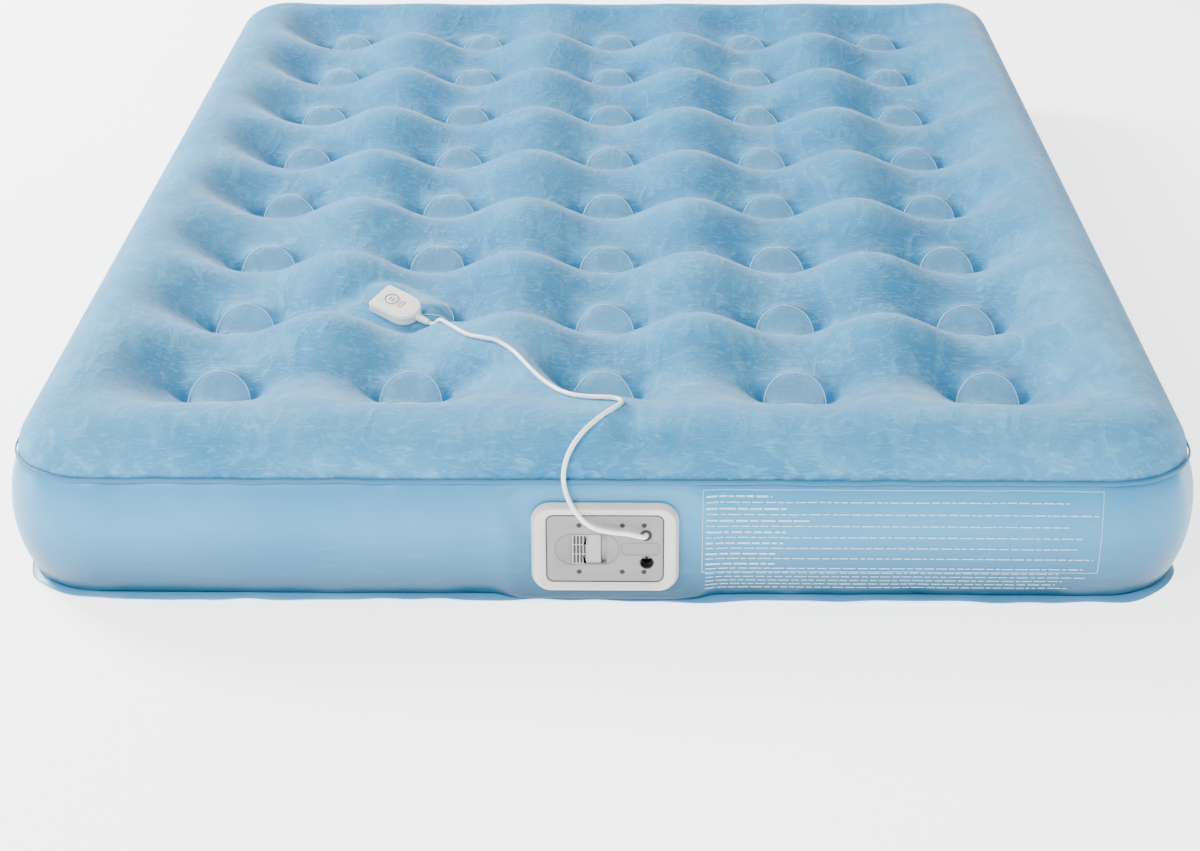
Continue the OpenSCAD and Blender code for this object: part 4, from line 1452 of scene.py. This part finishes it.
@dataclass
class PanelLines:
    """Beads and dark blocks of painted shadow for the panel's gaps, outlines and openings.

    The values are in millimetres from the panel's middle.
    """

    middle: tuple = (6.0, 78.0)
    front: float = -955.0
    recess_at: tuple = (-20.0, -1.0)
    recess: tuple = (72.0, 38.0)
    slider_left: float = -37.0
    slider_w: float = 32.6
    slider_h: float = 36.0
    grille_w: float = 17.3
    slot: tuple = (2.5, 10.8)
    slot_pitch: tuple = (3.8, 11.7)

    def outline(self, at: tuple, size: tuple, corner: float, thick: float) -> bpy.types.Object:
        """A round bead along a rounded rectangle on the faceplate.

        Args:
            at: Middle of the rectangle.
            size: Its width and height.
            corner: Its corner radius.
            thick: The bead's radius.

        Returns:
            The bead.
        """
        bpy.ops.mesh.primitive_plane_add(size=1, rotation=(math.pi / 2, 0, 0))
        piece = bpy.context.object
        piece.scale = (size[0] * MM, size[1] * MM, 1)
        piece.location = ((self.middle[0] + at[0]) * MM, self.front * MM,
                          (self.middle[1] + at[1]) * MM)
        settle(piece)
        round_off = piece.modifiers.new("round", "BEVEL")
        round_off.affect = "VERTICES"
        round_off.width, round_off.segments = corner * MM * 0.998, 12
        apply_modifiers(piece)
        only(piece)
        bpy.ops.object.mode_set(mode="EDIT")
        bpy.ops.mesh.select_all(action="SELECT")
        bpy.ops.mesh.delete(type="ONLY_FACE")
        bpy.ops.object.mode_set(mode="OBJECT")
        bpy.ops.object.convert(target="CURVE")
        bead = bpy.context.object
        bead.data.bevel_depth, bead.data.bevel_resolution = thick * MM, 1
        bpy.ops.object.convert(target="MESH")
        return bpy.context.object

    def box(self, x: float, z: float, depth: float, size: tuple) -> bpy.types.Object:
        """A box from its low corner on the panel, its depth behind the plate and its size."""
        low = ((self.middle[0] + x) * MM, (self.front + depth) * MM, (self.middle[1] + z) * MM)
        return block(low, tuple(side * MM for side in size))

    def build(self, wardrobe: Wardrobe) -> None:
        """Makes the painted shadows of the plate's gap, outlines, grille openings and screw wells.
        """
        # painted shadow: a dark bead in the gap round the plate
        gap = self.outline((0, 0), (131.4, 83.4), 8.2, 0.70)
        gap.name = gap.data.name = "plate_gap_shadow"
        wardrobe.dress(gap, "gap_shadow")
        take_place(gap, Body.ROOT, "plate_plastic")
        # painted shadow: grey beads along the recess and badge outlines
        lines = joined("plate_outline_shadows", [
            self.outline(self.recess_at, self.recess, self.recess[1] / 2 - 0.05, 0.42),
            self.outline((40.0, -0.5), (43.0, 15.5), 5.0, 0.36)])
        wardrobe.dress(lines, "line_shadow")
        take_place(lines, Body.ROOT, "plate_plastic")
        middle_x, middle_z = self.slider_left + self.grille_w / 2, self.recess_at[1]
        wide, high = self.slot[0] - 0.06, self.slot[1] - 0.06
        # painted shadow: dark blocks in the grille's slots
        dark = [self.box(middle_x + i * self.slot_pitch[0] - wide / 2,
                         middle_z + j * self.slot_pitch[1] - high / 2, 0.12, (wide, 1.6, high))
                for i in (-1.5, -0.5, 0.5, 1.5) for j in (-1, 0, 1)]
        # painted shadow: a dark strip in the gap at the slider's right edge
        dark.append(self.box(self.slider_left + self.slider_w - 0.2, middle_z - self.slider_h / 2,
                             1.4, (0.9, 0.8, self.slider_h)))
        grille = joined("grille_opening_shadows", dark)
        wardrobe.dress(grille, "gap_shadow")
        take_place(grille, Body.SLIDER, "slider_plastic")
        # painted shadow: dark discs in the screw holes
        heads = joined("screw_well_shadows", [self.well(x, z) for x in (-29.0, 19.5, 44.0)
                                       for z in (-29.3, 29.3)])
        wardrobe.dress(heads, "gap_shadow")
        take_place(heads, Body.ROOT, "screw_steel")

    def well(self, x: float, z: float) -> bpy.types.Object:
        """A painted-shadow disc in a screw's hole, just behind the faceplate's front and over the
        head.
        """
        bpy.ops.mesh.primitive_cylinder_add(
            vertices=32, radius=2.95 * MM, depth=0.8 * MM, rotation=(math.pi / 2, 0, 0),
            location=((self.middle[0] + x) * MM, (self.front + 1.1) * MM,
                      (self.middle[1] + z) * MM))
        return bpy.context.object


class PumpPanel:
    """Bezel, faceplate, slider, badge and fittings at the pump end."""

    parts = {
        "pump_bezel": (0.0016, 4), "faceplate": (0.0006, 2), "mode_slider": (0.0005, 2),
        "badge_plate": (0.0003, 2), "cord_grommet": (0.0005, 3), "power_inlet": (0.0004, 2),
    }

    def build(self, wardrobe: Wardrobe) -> None:
        """Makes and places every visible part of the panel."""
        for node, (width, segments) in self.parts.items():
            piece = Softened(node, width, segments).build(node + "_moulding")
            wardrobe.dress(piece, SLOT_OF[node])
            body = Body.SLIDER if node == Body.SLIDER.value else Body.ROOT
            take_place(piece, body, SLOT_OF[node], node)
        PanelLines().build(wardrobe)


class Handset:
    """The remote's shells, its button with a raised mark, and the ribbed strain relief."""

    parts = {
        "handset_top_shell": (0.0016, 4), "handset_bottom_shell": (0.0014, 3),
        "handset_button": (0.0006, 3), "handset_strain_relief": (0.0003, 2),
    }

    def __init__(self, place: HandsetPlace) -> None:
        """Keeps where the handset lies."""
        self.place = place

    def mark(self, wardrobe: Wardrobe) -> None:
        """Raises a ring and two bars on the button, and a small frame beside it."""
        top = 0.0081
        button_x = -0.009
        made = []
        bpy.ops.mesh.primitive_torus_add(major_radius=0.0086, minor_radius=0.0006,
                                         major_segments=64, minor_segments=6)
        made.append(bpy.context.object)
        made[-1].scale = (1, 1, 0.25)
        made[-1].location = (button_x, 0, top)
        bar = 0.0012, 0.0064, 0.0002
        made += [block((button_x + offset - bar[0] / 2, -bar[1] / 2, top - bar[2] / 2), bar)
                 for offset in (-0.0022, 0.0022)]
        mark = joined("button_mark", made)
        mark.data.transform(self.place.matrix())
        wide, long, line, left, skin = 0.0052, 0.0110, 0.0007, 0.0045, 0.00748
        frame_lines = joined("shell_mark", [
            block((left + dx, dy - long / 2, skin), size) for dx, dy, size in (
                (0, 0, (line, long, 0.0002)), (wide - line, 0, (line, long, 0.0002)),
                (0, 0, (wide, line, 0.0002)), (0, long - line, (wide, line, 0.0002)))])
        frame_lines.data.transform(self.place.matrix())
        wardrobe.dress(frame_lines, "symbol_grey")
        take_place(frame_lines, Body.ROOT, "handset_plastic")
        wardrobe.dress(mark, "symbol_grey")
        take_place(mark, Body.BUTTON, "handset_plastic")

    def build(self, wardrobe: Wardrobe) -> None:
        """Makes and places the handset's parts."""
        for node, (width, segments) in self.parts.items():
            piece = Softened(node, width, segments).build(node + "_moulding")
            wardrobe.dress(piece, SLOT_OF[node])
            body = Body.BUTTON if node == Body.BUTTON.value else Body.ROOT
            take_place(piece, body, SLOT_OF[node], node)
        self.mark(wardrobe)


# ---------- camera, lights and floor ----------


class Studio:
    """A pale floor, soft light from the rear left and from in front, and the camera."""

    def camera(self) -> None:
        """Sets the camera in front of the bed, above it and looking down."""
        data = bpy.data.cameras.new("camera")
        data.lens, data.sensor_width = 70.68, 36.0
        camera = bpy.data.objects.new("camera", data)
        turn = (Matrix.Rotation(math.radians(0.924), 4, "Z")
                @ Matrix.Rotation(math.radians(64.884), 4, "X")
                @ Matrix.Rotation(math.radians(-0.212), 4, "Z"))
        camera.matrix_world = Matrix.Translation((0.0386, -3.2878, 1.3243)) @ turn
        bpy.context.scene.collection.objects.link(camera)
        bpy.context.scene.camera = camera

    def lamp(self, name: str, place: tuple, size: float, power: float, colour: tuple) -> None:
        """Adds a square soft light that faces the bed."""
        data = bpy.data.lights.new(name, "AREA")
        data.size, data.energy, data.color = size, power, colour
        lamp = bpy.data.objects.new(name, data)
        lamp.location = place
        lamp.rotation_euler = (-Vector(place)).to_track_quat("-Z", "Y").to_euler()
        bpy.context.scene.collection.objects.link(lamp)

    def floor(self) -> None:
        """Lays a wide pale floor with a faint mottle."""
        bpy.ops.mesh.primitive_plane_add(size=60.0)
        floor = bpy.context.object
        floor.name = "floor"
        f = Finish("floor_paper")
        tone = f.mix(f.noise(2.0, 2.0), (0.93, 0.935, 0.94), (0.96, 0.96, 0.96))
        f.set(Base_Color=tone, Roughness=0.9)
        f.shader.inputs["Emission Color"].default_value = (1.0, 1.0, 1.0, 1.0)
        f.shader.inputs["Emission Strength"].default_value = 2.4
        floor.data.materials.append(f.material)

    def light(self) -> None:
        """Sets the surroundings and the lamps."""
        world = bpy.data.worlds.new("surroundings")
        world.use_nodes = True
        shade = world.node_tree.nodes["Background"]
        shade.inputs["Color"].default_value = (1.0, 1.0, 1.0, 1.0)
        shade.inputs["Strength"].default_value = 0.95
        bpy.context.scene.world = world
        self.lamp("key", (-3.6, 1.8, 2.5), 1.5, 620.0, (1.0, 0.99, 0.97))
        self.lamp("front_fill", (-2.2, -4.0, 3.2), 1.8, 230.0, (1.0, 1.0, 1.0))


# ---------- putting it together ----------


def build_bed(wardrobe: Wardrobe, cord_line: np.ndarray, hand: HandsetPlace) -> None:
    """Makes the bed's soft parts."""
    top = TopSheet()
    sheet = top.build(cord_line, hand)
    wardrobe.dress(sheet, "flocked_top")
    take_place(sheet, Body.ROOT, "flocked_top", "top_sheet")
    rims = WeldRings().build(sheet, top.coil_places())
    wardrobe.dress(rims, "weld_rim")
    take_place(rims, Body.ROOT, "flocked_top")
    webs = CoilWebs()
    discs = webs.discs(sheet, top.coil_places())
    wardrobe.dress(discs, SLOT_OF["top_weld_discs"])
    take_place(discs, Body.ROOT, SLOT_OF["top_weld_discs"], "top_weld_discs")
    for row in range(top.rows):
        node = f"coil_row_{row + 1}"
        tubes = webs.row(f"coil_webs_{row + 1}", sheet, top.coil_places()[row::top.rows])
        wardrobe.dress(tubes, SLOT_OF[node])
        take_place(tubes, Body.ROOT, SLOT_OF[node], node)

    wall_maker = SideWall()
    wall = wall_maker.build()
    wardrobe.dress(wall, "wall_vinyl")
    take_place(wall, Body.ROOT, "wall_vinyl", "side_wall", "pump_weld_flange")

    label = CarePanel().build(wall)
    wardrobe.dress(label, "label_print")
    take_place(label, Body.ROOT, "wall_vinyl")

    seam_in = float(wall_maker.offset(np.array(0.155)))
    seam = WeldStrip("seam_weld", tuple((seam_in + o * MM, 0.155 + z * MM) for o, z in (
        (-1.6, 3.4), (0.3, 2.9), (1.5, 1.2), (2.0, -0.8), (1.6, -1.9), (0.6, -2.2), (-0.8, -1.2))),
        0.0019, 0.0008, 61).build()
    wardrobe.dress(seam, "seam_vinyl")
    take_place(seam, Body.ROOT, "seam_vinyl", "top_seam")

    hem_in = float(wall_maker.offset(np.array(0.008)))
    hem = WeldStrip("hem_flange", tuple((hem_in + o * MM, z * MM) for o, z in (
        (-2.0, 9.0), (1.6, 7.6), (4.6, 6.0), (7.0, 4.2), (7.4, 3.4), (6.8, 3.0), (4.4, 4.6),
        (1.6, 6.0), (-2.0, 6.2))), 0.0030, 0.0034, 71, 0.0004).build()
    wardrobe.dress(hem, "hem_vinyl")
    take_place(hem, Body.ROOT, "hem_vinyl", "bottom_hem")

    base = BaseSheet().build(top.coil_places())
    wardrobe.dress(base, "base_vinyl")
    take_place(base, Body.ROOT, "base_vinyl", "bottom_sheet")


def main() -> None:
    """Builds the camera and the cord first, then the bed, the panel and the handset."""
    logging.basicConfig(level=logging.INFO, format="%(message)s")
    studio = Studio()
    studio.camera()
    wardrobe = Wardrobe()
    wardrobe.dress_frame()
    hand = HandsetPlace()
    cord_maker = RemoteCord()
    line = cord_maker.line(hand)
    cord = cord_maker.build(line)
    wardrobe.dress(cord, "cord_vinyl")
    take_place(cord, Body.ROOT, "cord_vinyl", "remote_cord")
    build_bed(wardrobe, line, hand)
    PumpPanel().build(wardrobe)
    Handset(hand).build(wardrobe)
    studio.floor()
    studio.light()


if __name__ == "__main__":
    main()
